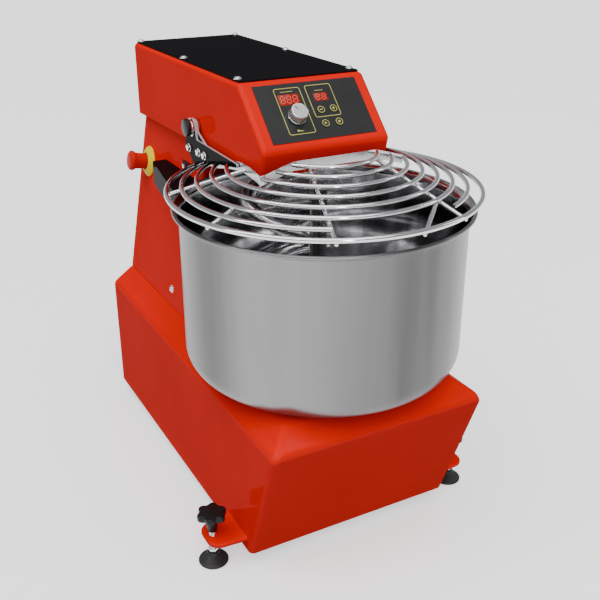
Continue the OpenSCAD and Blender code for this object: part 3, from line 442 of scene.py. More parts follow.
# The colours of red_paint and print_green come from the settings
LOOKS = {
    "red_paint": dict(rough=0.17, coat=0.035, coat_rough=0.08, coat_ior=2.2, tint=0.05, tint_scale=5.0,
                      spread=0.03, grain=420.0, bump=0.04, depth=0.0003, spec=0.0),
    "black_gloss": dict(colour=(0.004, 0.004, 0.005), rough=0.10, coat=0.06, coat_rough=0.06, tint=0.25,
                        tint_scale=3.0, spread=0.03, grain=260.0, bump=0.02, depth=0.0003, spec=0.0),
    "black_paint": dict(colour=(0.005, 0.005, 0.006), rough=0.30, coat=0.12, coat_rough=0.15, tint=0.2,
                        tint_scale=14.0, spread=0.06, grain=1500.0, bump=0.10, spec=0.0),
    # Light grey metal for the side faces of the arms and levers: a painted highlight along their edges
    "painted_edge_highlight": dict(colour=(0.55, 0.55, 0.56), rough=0.38, metal=0.4, tint=0.1, tint_scale=60.0,
                     spread=0.08, bump=0.06, depth=0.0001),
    # Bowl outside: wide vertical bands of lighter and darker grey, shifted to put a dark band on the bowl's
    # left, are painted reflections
    "stainless": dict(colour=(0.175, 0.175, 0.178), rough=0.33, metal=1.0, tint=0.56, tint_scale=4.5,
                      spread=0.07, grain=60.0, bump=0.06, stretch=(0.25, 0.25, 30.0), flow=(1.0, 1.0, 0.05),
                      shift=(0.765, 0.165, 0.0)),
    "strip_steel": dict(colour=(0.66, 0.66, 0.67), rough=0.22, metal=1.0, tint=0.05, tint_scale=9.0,
                        spread=0.06, grain=90.0, stretch=(0.4, 0.4, 20.0)),
    # Bowl inside: the narrow light and dark vertical streaks are painted reflections
    "bowl_inside": dict(colour=(0.50, 0.50, 0.51), rough=0.11, metal=1.0, tint=0.7, tint_scale=20.0,
                        grain=60.0, bump=0.03, stretch=(0.3, 0.3, 22.0), flow=(1.0, 1.0, 0.06)),
    "bowl_floor": dict(colour=(0.46, 0.46, 0.47), rough=0.20, metal=1.0, tint=0.12, tint_scale=7.0,
                       grain=120.0, bump=0.03),
    "chrome": dict(colour=(0.74, 0.74, 0.75), rough=0.14, metal=1.0, tint_scale=30.0, grain=1200.0, bump=0.03,
                   depth=0.0001),
    "hook_steel": dict(colour=(0.66, 0.66, 0.67), rough=0.17, metal=1.0, tint_scale=20.0, grain=500.0,
                       bump=0.05),
    "zinc_steel": dict(colour=(0.42, 0.43, 0.45), rough=0.36, metal=1.0, tint=0.14, tint_scale=40.0,
                       spread=0.08, grain=700.0, bump=0.06),
    "cast_housing": dict(colour=(0.11, 0.115, 0.125), rough=0.55, metal=0.3, tint=0.2, tint_scale=50.0,
                         spread=0.08, grain=600.0, bump=0.35, depth=0.0005),
    "motor_paint": dict(colour=(0.05, 0.07, 0.11), rough=0.42, tint=0.12, tint_scale=20.0, spread=0.06,
                        grain=700.0, bump=0.15, depth=0.0003),
    "rubber": dict(colour=(0.010, 0.010, 0.010), rough=0.42, tint=0.25, tint_scale=60.0, spread=0.08,
                   grain=1400.0, bump=0.2, spec=0.4),
    "overlay": dict(PANEL_FILM, colour=(0.014, 0.014, 0.015), rough=0.40, tint_scale=30.0),
    "print_green": dict(rough=0.45, tint_scale=90.0, grain=3500.0, bump=0.05, depth=0.0001),
    "display": dict(colour=(0.30, 0.020, 0.012), rough=0.12, tint=0.12, tint_scale=60.0, spread=0.03,
                    grain=2500.0, bump=0.0, spec=0.2),
    "led_red": dict(colour=(0.72, 0.07, 0.03), rough=0.35, tint=0.05, tint_scale=200.0, spread=0.03,
                    grain=2500.0, bump=0.0, glow=0.35),
    "knob_metal": dict(colour=(0.74, 0.74, 0.75), rough=0.26, metal=1.0, tint=0.08, tint_scale=60.0,
                       grain=500.0, bump=0.01, depth=0.0001, stretch=(6.0, 1.0, 1.0)),
    "key_plastic": dict(PANEL_FILM, colour=(0.016, 0.016, 0.017), rough=0.42, tint_scale=80.0),
    "stop_red": dict(colour=(0.60, 0.012, 0.006), rough=0.32, tint_scale=40.0, grain=1800.0, bump=0.05,
                     depth=0.0001, spec=0.05),
    "stop_yellow": dict(colour=(0.90, 0.70, 0.006), rough=0.40, tint=0.05, tint_scale=40.0, grain=1800.0,
                        bump=0.08, depth=0.0001, spec=0.1),
    "black_plastic": dict(colour=(0.008, 0.008, 0.009), rough=0.36, tint=0.2, tint_scale=60.0, spread=0.06,
                          grain=2200.0, bump=0.12, spec=0.2),
    "board_green": dict(colour=(0.015, 0.10, 0.04), rough=0.40, tint=0.15, tint_scale=120.0),
    "switch_yellow": dict(colour=(0.58, 0.40, 0.02), rough=0.38, tint=0.08, tint_scale=60.0),
}
# Finishes made from LOOKS, by name
FINISHES = {}


def set_inputs(node, values):
    """Set some of a node's inputs by name."""
    for key, value in values.items():
        node.inputs[key].default_value = value


def noise(tree, place, scale, detail, stretch, shift=(0.0, 0.0, 0.0)):
    """Noise pattern on coordinates that can be stretched and shifted."""
    mapping = tree.nodes.new("ShaderNodeMapping")
    set_inputs(mapping, {"Location": shift, "Scale": stretch})
    pattern = tree.nodes.new("ShaderNodeTexNoise")
    set_inputs(pattern, {"Scale": scale, "Detail": detail})
    tree.links.new(place, mapping.inputs["Vector"])
    tree.links.new(mapping.outputs["Vector"], pattern.inputs["Vector"])
    return pattern.outputs["Fac"]


def finish(name, colour, rough, metal=0.0, coat=0.0, coat_rough=0.05, coat_ior=1.5, spec=0.5, glow=0.0,
           tint=0.06, tint_scale=8.0, flow=EVEN, shift=(0.0, 0.0, 0.0), spread=0.05, grain=900.0, bump=0.04,
           depth=0.0002, stretch=EVEN):
    """Material with a little drift in colour and gloss, and a fine grain, on Object coordinates; on the
    bowl's steel the drift in colour paints reflection bands and streaks.
    """
    mat = bpy.data.materials.new(name)
    mat.use_nodes = True
    tree = mat.node_tree
    link = tree.links.new
    shader = tree.nodes["Principled BSDF"]
    set_inputs(shader, {"Metallic": metal, "Specular IOR Level": spec, "Coat Weight": coat,
                        "Coat Roughness": coat_rough, "Coat IOR": coat_ior})
    place = tree.nodes.new("ShaderNodeTexCoord").outputs["Object"]
    # Large noise in the colour: random tone on most finishes, painted reflection bands and streaks on the
    # bowl's steel
    drift_and_reflection_bands = noise(tree, place, tint_scale, 4.0, flow, shift)
    fine = noise(tree, place, grain, 2.0, stretch)
    shades = tree.nodes.new("ShaderNodeValToRGB")
    for end, position, factor in zip(shades.color_ramp.elements, (0.3, 0.7), (1 - tint, 1 + tint)):
        end.position = position
        end.color = (*(min(1.0, c * factor) for c in colour), 1.0)
    link(drift_and_reflection_bands, shades.inputs["Fac"])
    link(shades.outputs["Color"], shader.inputs["Base Color"])
    gloss = tree.nodes.new("ShaderNodeMapRange")
    set_inputs(gloss, {"To Min": max(0.02, rough - spread), "To Max": rough + spread})
    link(drift_and_reflection_bands if stretch == EVEN else fine, gloss.inputs["Value"])
    link(gloss.outputs["Result"], shader.inputs["Roughness"])
    if bump:
        relief = tree.nodes.new("ShaderNodeBump")
        set_inputs(relief, {"Strength": bump, "Distance": depth})
        link(fine, relief.inputs["Height"])
        link(relief.outputs["Normal"], shader.inputs["Normal"])
    if glow:
        set_inputs(shader, {"Emission Color": (*colour, 1.0), "Emission Strength": glow})
    return mat


def piece(name, bm, finishes, body="frame", replaces=(), smooth=35.0, weighted=False):
    """Turn a bmesh into a finished piece that rides on a body of the machine."""
    bmesh.ops.scale(bm, vec=(MM, MM, MM), verts=bm.verts)
    limit = math.radians(smooth)
    for face in bm.faces:
        face.smooth = True
    for edge in bm.edges:
        edge.smooth = len(edge.link_faces) == 2 and edge.calc_face_angle() < limit
    obj = new_object(name, bm)
    names = [finishes] if isinstance(finishes, str) else finishes
    for key in names:
        obj.data.materials.append(FINISHES[key])
    if weighted:
        even = obj.modifiers.new("Even shading", "WEIGHTED_NORMAL")
        even.keep_sharp = True
    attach(obj, body)
    if replaces:
        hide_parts(*replaces)
    return obj


class MixerSheetSettings(PropertyGroup):
    """Paintwork of the base, column and head."""
    paint: FloatVectorProperty(
        name="Paint", description="Colour of the painted sheet", subtype="COLOR", size=3, min=0.0, max=1.0,
        default=(0.70, 0.008, 0.002))
    base_round: FloatProperty(
        name="Base edge", description="Radius of the base's edges", subtype="DISTANCE", unit="LENGTH",
        default=0.009, min=0.002, max=0.014)
    column_round: FloatProperty(
        name="Column edge", description="Radius of the column's edges", subtype="DISTANCE", unit="LENGTH",
        default=0.007, min=0.002, max=0.012)
    head_round: FloatProperty(
        name="Head edge", description="Radius of the head's edges", subtype="DISTANCE", unit="LENGTH",
        default=0.008, min=0.002, max=0.010)


class MixerBowlSettings(PropertyGroup):
    """Bowl and spiral."""
    bowl_steps: IntProperty(
        name="Bowl steps", description="Number of faces round the bowl", default=160, min=48, max=256)
    hook_steps: IntProperty(
        name="Hook steps", description="Number of rings along the spiral", default=150, min=60, max=240)


class MixerGuardSettings(PropertyGroup):
    """Wire guard."""
    outer_wire: FloatProperty(
        name="Outer wire", description="Diameter of the outer ring's wire", subtype="DISTANCE", unit="LENGTH",
        default=0.008, min=0.006, max=0.008)
    inner_wire: FloatProperty(
        name="Inner wire", description="Diameter of the inner rings' wire", subtype="DISTANCE", unit="LENGTH",
        default=0.007, min=0.005, max=0.007)
    bar_wire: FloatProperty(
        name="Bars", description="Diameter of the bars", subtype="DISTANCE", unit="LENGTH",
        default=0.006, min=0.005, max=0.006)


class MixerPanelSettings(PropertyGroup):
    """Control panel."""
    prints: FloatVectorProperty(
        name="Print", description="Colour of the printed lines", subtype="COLOR", size=3, min=0.0, max=1.0,
        default=(0.52, 0.50, 0.10))
    line: FloatProperty(
        name="Line", description="Width of the printed lines", subtype="DISTANCE", unit="LENGTH",
        default=0.001, min=0.0004, max=0.002)


class MixerStageSettings(PropertyGroup):
    """Floor and lights."""
    floor: FloatVectorProperty(
        name="Floor", description="Colour of the floor", subtype="COLOR", size=3, min=0.0, max=1.0,
        default=(0.94, 0.94, 0.94))
    floor_glow: FloatProperty(
        name="Floor glow", description="Light that the floor gives off of its own", default=0.8, min=0.0)
    top_light: FloatProperty(
        name="Top light", description="Strength of the soft light from above", default=2.8, min=0.0)
    front_light: FloatProperty(
        name="Front light", description="Power of the front light", subtype="POWER", unit="POWER",
        default=18.0, min=0.0)
    side_light: FloatProperty(
        name="Side lights", description="Power of each side light", subtype="POWER", unit="POWER",
        default=6.0, min=0.0)
    room: FloatProperty(
        name="Room", description="Strength of the light from the room", default=0.4, min=0.0)


class MIXER_OT_finishes(Operator):
    """Make the finishes and give them to the CAD nodes"""
    bl_idname = "mixer.finishes"
    bl_label = "Finishes"

    def execute(self, context):
        scene = context.scene
        chosen = {"red_paint": tuple(scene.mixer_sheet.paint), "print_green": tuple(scene.mixer_panel.prints)}
        for name, look in LOOKS.items():
            FINISHES[name] = finish(name, **{"colour": chosen.get(name), **look})
        for entry in frame["record"]["subparts"]:
            mesh = frame["nodes"][entry["node"]].data
            mesh.materials.clear()
            mesh.materials.append(FINISHES[entry["material_slot"]])
        return {"FINISHED"}


class MIXER_OT_base(Operator):
    """Build the base with its bevelled top, rounded edges and open underside"""
    bl_idname = "mixer.base"
    bl_label = "Base"

    def execute(self, context):
        hub_hole_r, way_half, way_edge, deep = 60.0, 135.0, 14.0, 30.0
        low, high = BASE_TOP_Z - deep, BASE_TOP_Z + deep
        side = [(BASE_HALF, BASE_TOE_Y, BASE_LOW.z), (BASE_HALF, REAR_Y, BASE_LOW.z),
                (BASE_HALF, BASE_LOW.y, BASE_WALL_Z), (BASE_HALF, REAR_Y, BASE_WALL_Z),
                (BASE_TOP_HALF, BASE_BROW_Y, BASE_TOP_Z), (BASE_TOP_HALF, REAR_Y, BASE_TOP_Z)]
        body = hull([(sign * x, y, z) for sign in (-1, 1) for x, y, z in side])
        sheet_shell(body, [DOWN], context.scene.mixer_sheet.base_round / MM)
        hub_hole = placed(cylinder(hub_hole_r, low, high, sides=72), at(y=BOWL_Y))
        shaft_way = block((-way_half, COLUMN_FRONT_Y + way_edge, low), (way_half, REAR_Y - way_edge, high))
        piece("base_body", cut(body, [hub_hole, shaft_way]), "red_paint", "frame", ["base_shell"],
              weighted=True)
        return {"FINISHED"}


class MIXER_OT_column(Operator):
    """Build the tapered column with its rear window and the hole for the emergency stop"""
    bl_idname = "mixer.column"
    bl_label = "Column"

    def execute(self, context):
        window_half, window_low, window_high, deep = 70.0, 340.0, 575.0, 20.0
        body = hull([(sign * half, y, z) for sign in (-1, 1) for y in (COLUMN_FRONT_Y, REAR_Y)
                     for half, z in ((BASE_TOP_HALF, BASE_TOP_Z), (COLUMN_TOP_HALF, COLUMN_TOP_Z))])
        sheet_shell(body, [DOWN, UP], context.scene.mixer_sheet.column_round / MM)
        window = block((-window_half, REAR_Y - deep, window_low), (window_half, REAR_Y + deep, window_high))
        stop_hole = placed(cylinder(STOP_HOLE_R, -10, 10), on_column(*STOP_AT))
        piece("column_body", cut(body, [window, stop_hole]), "red_paint", "frame", ["column_shell"],
              weighted=True)
        return {"FINISHED"}


class MIXER_OT_head(Operator):
    """Build the head with its slanted panel face"""
    bl_idname = "mixer.head"
    bl_label = "Head"

    def execute(self, context):
        edge, deep, notch_low = 20.0, 12.0, 590.0
        pivot_hole_r, knob_hole_r, key_hole_r = 9.0, 5.0, 7.2
        window_gap, column_gap = 0.2, 0.4
        outline = [(HEAD_NOSE.y, HEAD_NOSE.z), (HEAD_REAR_Y, HEAD_HEEL_Z), (HEAD_REAR_Y, HEAD_TOP_Z),
                   (HEAD_TOP_Y, HEAD_TOP_Z), (HEAD_LIP.y, HEAD_LIP.z)]
        body = hull([(sign * HEAD_HALF, y, z) for sign in (-1, 1) for y, z in outline])
        sheet_shell(body, [DOWN], context.scene.mixer_sheet.head_round / MM)
        cutters = [
            block((edge - HEAD_HALF, HEAD_TOP_Y + edge, HEAD_TOP_Z - deep),
                  (HEAD_HALF - edge, HEAD_REAR_Y - edge, HEAD_TOP_Z + deep)),
            placed(cylinder(pivot_hole_r, -140, 140), at_pivot(0)),
            placed(cylinder(knob_hole_r, -deep, deep, sides=24), PANEL @ at(*KNOB_AT)),
            hull([(sign * (column_half(z) + column_gap), y, z) for sign in (-1, 1)
                  for y in (HEAD_REAR_Y - 8, HEAD_REAR_Y + 4)
                  for z in (notch_low, COLUMN_TOP_Z + column_gap)]),
        ]
        for spot in KEYS_AT.values():
            cutters.append(placed(cylinder(key_hole_r, -deep, deep, sides=32), PANEL @ at(*spot)))
        for u, v, w, h in WINDOWS.values():
            cutters.append(placed(block((u - window_gap, v - window_gap, -deep),
                                        (u + w + window_gap, v + h + window_gap, deep)), PANEL))
        piece("head_body", cut(body, cutters), "red_paint", "frame", ["head_shell"], weighted=True)
        return {"FINISHED"}


class MIXER_OT_top_plate(Operator):
    """Build the glossy top plate and its dome screws"""
    bl_idname = "mixer.top_plate"
    bl_label = "Top plate"

    def execute(self, context):
        corner_r, edge_r, inset = 5.0, 0.9, 12.0
        first_y, last_y = HEAD_TOP_Y + 23.0, HEAD_REAR_Y - inset
        low, high = node_box("top_plate")
        cover = round_edges(block(low, high), corner_r, segments=5, test=upright)
        round_edges(cover, edge_r, least=60.0)
        piece("top_cover", cover, "black_gloss", "frame", ["top_plate"], weighted=True)
        screws = []
        for x in (inset - HEAD_HALF, HEAD_HALF - inset):
            for y in (first_y, (first_y + last_y) / 2, last_y):
                screw = domed_screw(radius=5.4, height=3.0, washer_r=6.6)
                screws.append(placed(screw, at(x, y, high.z - 0.05)))
        piece("cover_screws", joined(screws), "chrome", "frame", ["top_plate_screws"])
        return {"FINISHED"}


def digit(u, v, w, h, top):
    """Lit bars of one figure eight, leaning a little."""
    thick, lean = w * 0.20, 0.10
    tip = thick / 2
    bars = []
    for across, up, level in ((0.5, 1.0, True), (1.0, 0.75, False), (1.0, 0.25, False), (0.5, 0.0, True),
                              (0.0, 0.25, False), (0.0, 0.75, False), (0.5, 0.5, True)):
        half = ((w if level else h / 2) - thick * 1.15) / 2
        outline = [(-half, 0), (tip - half, -tip), (half - tip, -tip), (half, 0), (half - tip, tip),
                   (tip - half, tip)]
        if not level:
            outline = [(-b, a) for a, b in outline]
        x, y = u + across * w, v + up * h
        bars.append(printed([(x + a + lean * (y + b - v), y + b) for a, b in outline], top))
    return bars


class MIXER_OT_panel(Operator):
    """Build the displays and the printed lines of the control panel"""
    bl_idname = "mixer.panel"
    bl_label = "Control panel"

    def execute(self, context):
        width = context.scene.mixer_panel.line / MM
        frames = ((-58.0, 24.0, 45.0, 82.0), (-4.0, 49.0, 45.5, 58.0))
        wedge = [(-43.0, 29.0), (-31.0, 29.0), (-43.0, 32.4)]
        corner_r, dash_gap, dash_h = 4.0, 4.0, 0.8
        glass_t, glass_top, glass_corner_r = 4.4, OVERLAY_TOP - 0.1, 0.8
        lines = []
        for box in frames:
            lines.append(printed_frame(rounded_outline(rectangle(*box), corner_r), width, OVERLAY_TOP))
        for u, v, w, h in WINDOWS.values():
            lines.append(printed(rectangle(u + w * 0.2, v + h + dash_gap, w * 0.6, dash_h), OVERLAY_TOP))
        lines.append(printed(wedge, OVERLAY_TOP, PRINT_T + PRINT_SINK))
        piece("panel_print", placed(joined(lines), PANEL), "print_green")
        glass = []
        lit = []
        for name, (u, v, w, h) in WINDOWS.items():
            pane = plate(rounded_outline(rectangle(u, v, w, h), glass_corner_r, steps=3), glass_t)
            round_edges(pane, 0.25, segments=2, least=60.0)
            glass.append(lifted(pane, glass_top - glass_t))
            pitch = w / (WINDOW_DIGITS[name] + 0.25)
            for i in range(WINDOW_DIGITS[name]):
                lit += digit(u + pitch * (i + 0.25), v + h * 0.17, pitch * 0.62, h * 0.66, glass_top)
        piece("display_glass", placed(joined(glass), PANEL), "display", "frame", ["display_windows"])
        piece("display_digits", placed(joined(lit), PANEL), "led_red")
        return {"FINISHED"}


class MIXER_OT_speed_knob(Operator):
    """Build the turned speed knob with its fluted side and pointer"""
    bl_idname = "mixer.speed_knob"
    bl_label = "Speed knob"

    def execute(self, context):
        low = OVERLAY_TOP + 0.5
        flutes, flute_depth = 48, 0.022
        profile = [(0.0, 0.0), (14.2, 0.0), (14.8, 0.6), (14.8, 3.2), (14.3, 3.8), (14.3, 4.6), (13.9, 15.6),
                   (13.2, 16.7), (12.4, 16.9), (12.0, 16.5), (0.0, 16.5)]
        cap = turned([(r, low + z) for r, z in profile], steps=3 * flutes)
        for v in cap.verts:
            if low + 4.0 < v.co.z < low + 16.0:
                wave = 0.5 + 0.5 * math.cos(flutes * math.atan2(v.co.y, v.co.x))
                v.co.xy *= 1.0 - flute_depth * wave
        stem = cylinder(3.0, -14.0, low + 1.0, sides=24)
        mark = lifted(plate(rectangle(-0.6, 4.0, 1.2, 7.6), thickness=0.25), low + 16.4)
        spot = PANEL @ at(*KNOB_AT) @ Matrix.Rotation(math.radians(35), 4, "Z")
        piece("knob_cap", placed(joined([cap, stem]), spot), "knob_metal", "speed_knob", ["speed_knob"],
              smooth=30.0)
        piece("knob_mark", placed(mark, spot), "key_plastic", "speed_knob")
        return {"FINISHED"}


DASH = rectangle(-2.4, -0.65, 4.8, 1.3)
KEY_SIGNS = {
    "minus": [DASH],
    "plus": [DASH, rectangle(-0.65, -2.4, 1.3, 1.75), rectangle(-0.65, 0.65, 1.3, 1.75)],
    "start": [[(-1.6, -2.3), (2.4, 0.0), (-1.6, 2.3)]],
    "stop": [rectangle(-1.8, -1.8, 3.6, 3.6)],
}


class MIXER_OT_keys(Operator):
    """Build the four round keys with their printed rings and signs"""
    bl_idname = "mixer.keys"
    bl_label = "Keys"

    def execute(self, context):
        top = 2.0
        cap = [(0.0, -10.0), (3.0, -10.0), (3.0, -6.0), (6.8, -6.0), (6.8, top - 0.7), (6.6, top - 0.2),
               (6.1, top), (0.0, top)]
        ring = [(5.1, top - PRINT_SINK), (6.0, top - PRINT_SINK), (6.0, top + 0.1), (5.1, top + 0.1)]
        for name, place in KEYS_AT.items():
            body = name + "_key"
            spot = PANEL @ at(*place)
            piece(name + "_cap", placed(turned(cap), spot), "key_plastic", body, [body])
            signs = [turned(ring, closed=True)] + [printed(outline, top) for outline in KEY_SIGNS[name]]
            piece(name + "_sign", placed(joined(signs), spot), "print_green", body)
        return {"FINISHED"}


class MIXER_OT_bowl(Operator):
    """Spin the bowl with its rounded bottom corner, flared wall and rolled rim"""
    bl_idname = "mixer.bowl"
    bl_label = "Bowl"

    def execute(self, context):
        low, rim = BOWL_LOW.z, BOWL_HIGH.z
        wall, sheet, corner, roll = 227.0, 2.5, 42.0, 3.0
        inner, roll_r = wall - sheet, BOWL_HIGH.x - roll
        bend_r, bend_z = wall - corner, low + corner
        outside, inside, floor = range(3)
        profile = [(0.0, low), (60.0, low), (120.0, low)]
        profile += arc(bend_r, bend_z, corner, -90, 7.5, 13)
        profile += [(wall, low + 130), (wall, rim - 17), (wall + 0.5, rim - 12.5), (wall + 2.2, rim - 8.4)]
        profile += arc(roll_r, rim - roll, roll, -140, 20, 15)
        profile += [(inner + 4.6, rim - 6.0), (inner + 1.6, rim - 10.0), (inner, rim - 15.0),
                    (inner, low + 130)]
        profile += arc(bend_r, bend_z, corner - sheet, 0, -7.5, 13)
        profile += [(120.0, low + sheet), (60.0, low + sheet), (0.0, low + sheet)]
        bm = turned(profile, steps=context.scene.mixer_bowl.bowl_steps)
        for face in bm.faces:
            middle = face.calc_center_median()
            radius = math.hypot(middle.x, middle.y)
            inward = face.normal.x * middle.x + face.normal.y * middle.y < -0.2 * max(radius, 1.0)
            face.material_index = outside
            if radius < roll_r - 1.5 and (inward or face.normal.z > 0.6):
                face.material_index = floor if face.normal.z > 0.9 else inside
        placed(bm, at(y=BOWL_Y))
        # The outside's finish carries painted reflection bands, the inside's painted reflection streaks
        piece("bowl_shell", bm, ["stainless", "bowl_inside", "bowl_floor"], "bowl", ["bowl"], smooth=50.0)
        return {"FINISHED"}


def hook_path(steps):
    """Middle line of the spiral and its radius at each point."""
    turns, high, low = 1.4, 588.0, 320.0
    root, reach, spread_share = 10.0, 75.0, 0.2
    bar, tip_share = 13.0, 0.06
    points, radii = [], []
    for i in range(steps + 1):
        t = i / steps
        share = min(1.0, t / spread_share)
        r = root + (reach - root) * share * share * (3 - 2 * share)
        a = math.radians(90 + 360 * turns * t)
        points.append(Vector((r * math.cos(a), SPIRAL_Y + r * math.sin(a), high - (high - low) * t)))
        end = min(1.0, (1 - t) / tip_share)
        radii.append(bar * math.sqrt(max(0.02, 1 - (1 - end) ** 2)))
    return points, radii


class MIXER_OT_spiral(Operator):
    """Sweep the spiral hook and turn its hub, and build the breaker bar"""
    bl_idname = "mixer.spiral"
    bl_label = "Spiral"

    def execute(self, context):
        points, radii = hook_path(context.scene.mixer_bowl.hook_steps)
        piece("hook_bar", swept(points, radii, sides=28), "hook_steel", "spiral", ["spiral_hook"],
              smooth=50.0)
        hub = turned([(0.0, 575.0), (22.5, 575.0), (25.0, 577.5), (25.0, 601.5), (22.5, 604.0), (17.5, 604.0),
                      (17.5, 720.0), (15.5, 722.0), (0.0, 722.0)], steps=56)
        piece("hook_hub", placed(hub, at(y=SPIRAL_Y)), "hook_steel", "spiral", ["spiral_shaft"])
        bar_r, bar_low, bar_high, bar_y = 14.0, 308.0, 614.5, BOWL_Y + 18.0
        dome = arc(0.0, bar_low + bar_r, bar_r, -90, 10, 10)
        bar = turned([(0.0, bar_low)] + dome[1:] + [(bar_r, bar_high), (0.0, bar_high)])
        foot = block((-32, -16, 614), (32, 16, 622))
        round_edges(foot, 4.0, segments=4, least=60.0, test=upright)
        bolts = [placed(hex_head(radius=6.0, height=4.0), at(x, 0, 610.1)) for x in (-23, 23)]
        piece("breaker", placed(joined([bar, foot] + bolts), at(y=bar_y)), "hook_steel", "frame",
              ["breaker_bar"])
        return {"FINISHED"}


def cone_z(radius):
    """Height of the guard's shallow cone at a radius."""
    return GUARD_Z + (GUARD_R - radius) * GUARD_SLOPE


def on_cone(radius, angle, drop):
    """Point on the guard's cone, lowered a little; the angle in degrees."""
    a = math.radians(angle)
    return Vector((radius * math.cos(a), BOWL_Y + radius * math.sin(a), cone_z(radius) - drop))


def ring_end(radius):
    """Angle at which a ring meets the right arm, or the strip's front."""
    if radius > math.hypot(STRIP_FRONT_X, STRIP_FRONT):
        return math.degrees(math.acos((ARM_X + ARM_T) / radius))
    return -math.degrees(math.asin((STRIP_FRONT + STRIP_T / 2) / radius))


class MIXER_OT_guard(Operator):
    """Bend the guard's rings, and build its bars and the strip round the head"""
    bl_idname = "mixer.guard"
    bl_label = "Guard"

    def execute(self, context):
        sizes = context.scene.mixer_guard
        outer, inner, bar = sizes.outer_wire / MM, sizes.inner_wire / MM, sizes.bar_wire / MM
        weld, overlap, side_bar_r = 1.5, 1.0, 122.0
        gap_start, gap_end = RING_GAP
        radii = [GUARD_R - i * RING_STEP for i in range(RINGS)]
        rings = []
        for i, radius in enumerate(radii):
            end = ring_end(radius) + math.degrees(weld / radius)
            start = 180 - end
            spans = [(start, 180 + 2 * end)]
            if i == 1:
                spans = [(start, gap_start - start), (gap_end, end - gap_end)]
            for first, sweep in spans:
                rings.append(wire_arc(radius, cone_z(radius), inner if i else outer, first, sweep))
        piece("guard_wires", joined(rings), "chrome", "guard", ["guard_rings"], smooth=60.0)
        drop = (inner + bar) / 2 - overlap
        runs = [(radii[-1], -134.5, -116.0), (radii[-1], -40.5, -64.5), (side_bar_r, 165.0, 158.5),
                (side_bar_r, 15.0, 21.5), (radii[2], -161.0, -161.0), (radii[2], -65.5, -86.0)]
        bars = [self.strut(on_cone(radius, start, drop), on_cone(GUARD_R, end, drop), bar / 2)
                for radius, start, end in runs]
        piece("guard_struts", joined(bars), "chrome", "guard", ["guard_bars"], smooth=60.0)
        piece("guard_band", self.band(), "strip_steel", "guard", ["guard_strip"], smooth=30.0)
        return {"FINISHED"}

    def strut(self, start, end, radius):
        """Straight bar with rounded ends, a little longer than the way between two points."""
        along = (end - start).normalized()
        path = [start - along * 2.4, start - along * 1.4, start + along,
                end - along, end + along * 1.2, end + along * 2.2]
        return swept(path, [radius * share for share in (0.4, 0.9, 1.0, 1.0, 0.9, 0.4)], sides=16)

    def band(self):
        """Upright strip that runs round the head on three sides."""
        rise, hang = 4.0, 10.0
        corner_r, cuts = 7.0, 14
        plan = [(-STRIP_X, STRIP_BACK), (-STRIP_X, STRIP_TURN), (-STRIP_FRONT_X, -STRIP_FRONT),
                (STRIP_FRONT_X, -STRIP_FRONT), (STRIP_X, STRIP_TURN), (STRIP_X, STRIP_BACK)]
        bm = bmesh.new()
        verts = [bm.verts.new((x, BOWL_Y + y, 0.0)) for x, y in plan]
        for pair in zip(verts, verts[1:]):
            bm.edges.new(pair)
        bevel(bm, verts[1:-1], corner_r, segments=5, affect="VERTICES")
        long_edges = [e for e in bm.edges if e.calc_length() > 40]
        bmesh.ops.subdivide_edges(bm, edges=long_edges, cuts=cuts)
        made = bmesh.ops.extrude_edge_only(bm, edges=bm.edges[:])["geom"]
        upper = set(verts_of(made))
        for v in bm.verts:
            radius = max(STRIP_FLAT_R, math.hypot(v.co.x, v.co.y - BOWL_Y))
            v.co.z = cone_z(radius) + (rise if v in upper else -hang)
        bmesh.ops.recalc_face_normals(bm, faces=bm.faces)
        bmesh.ops.solidify(bm, geom=bm.faces[:], thickness=STRIP_T / 2)
        bmesh.ops.recalc_face_normals(bm, faces=bm.faces)
        return bm


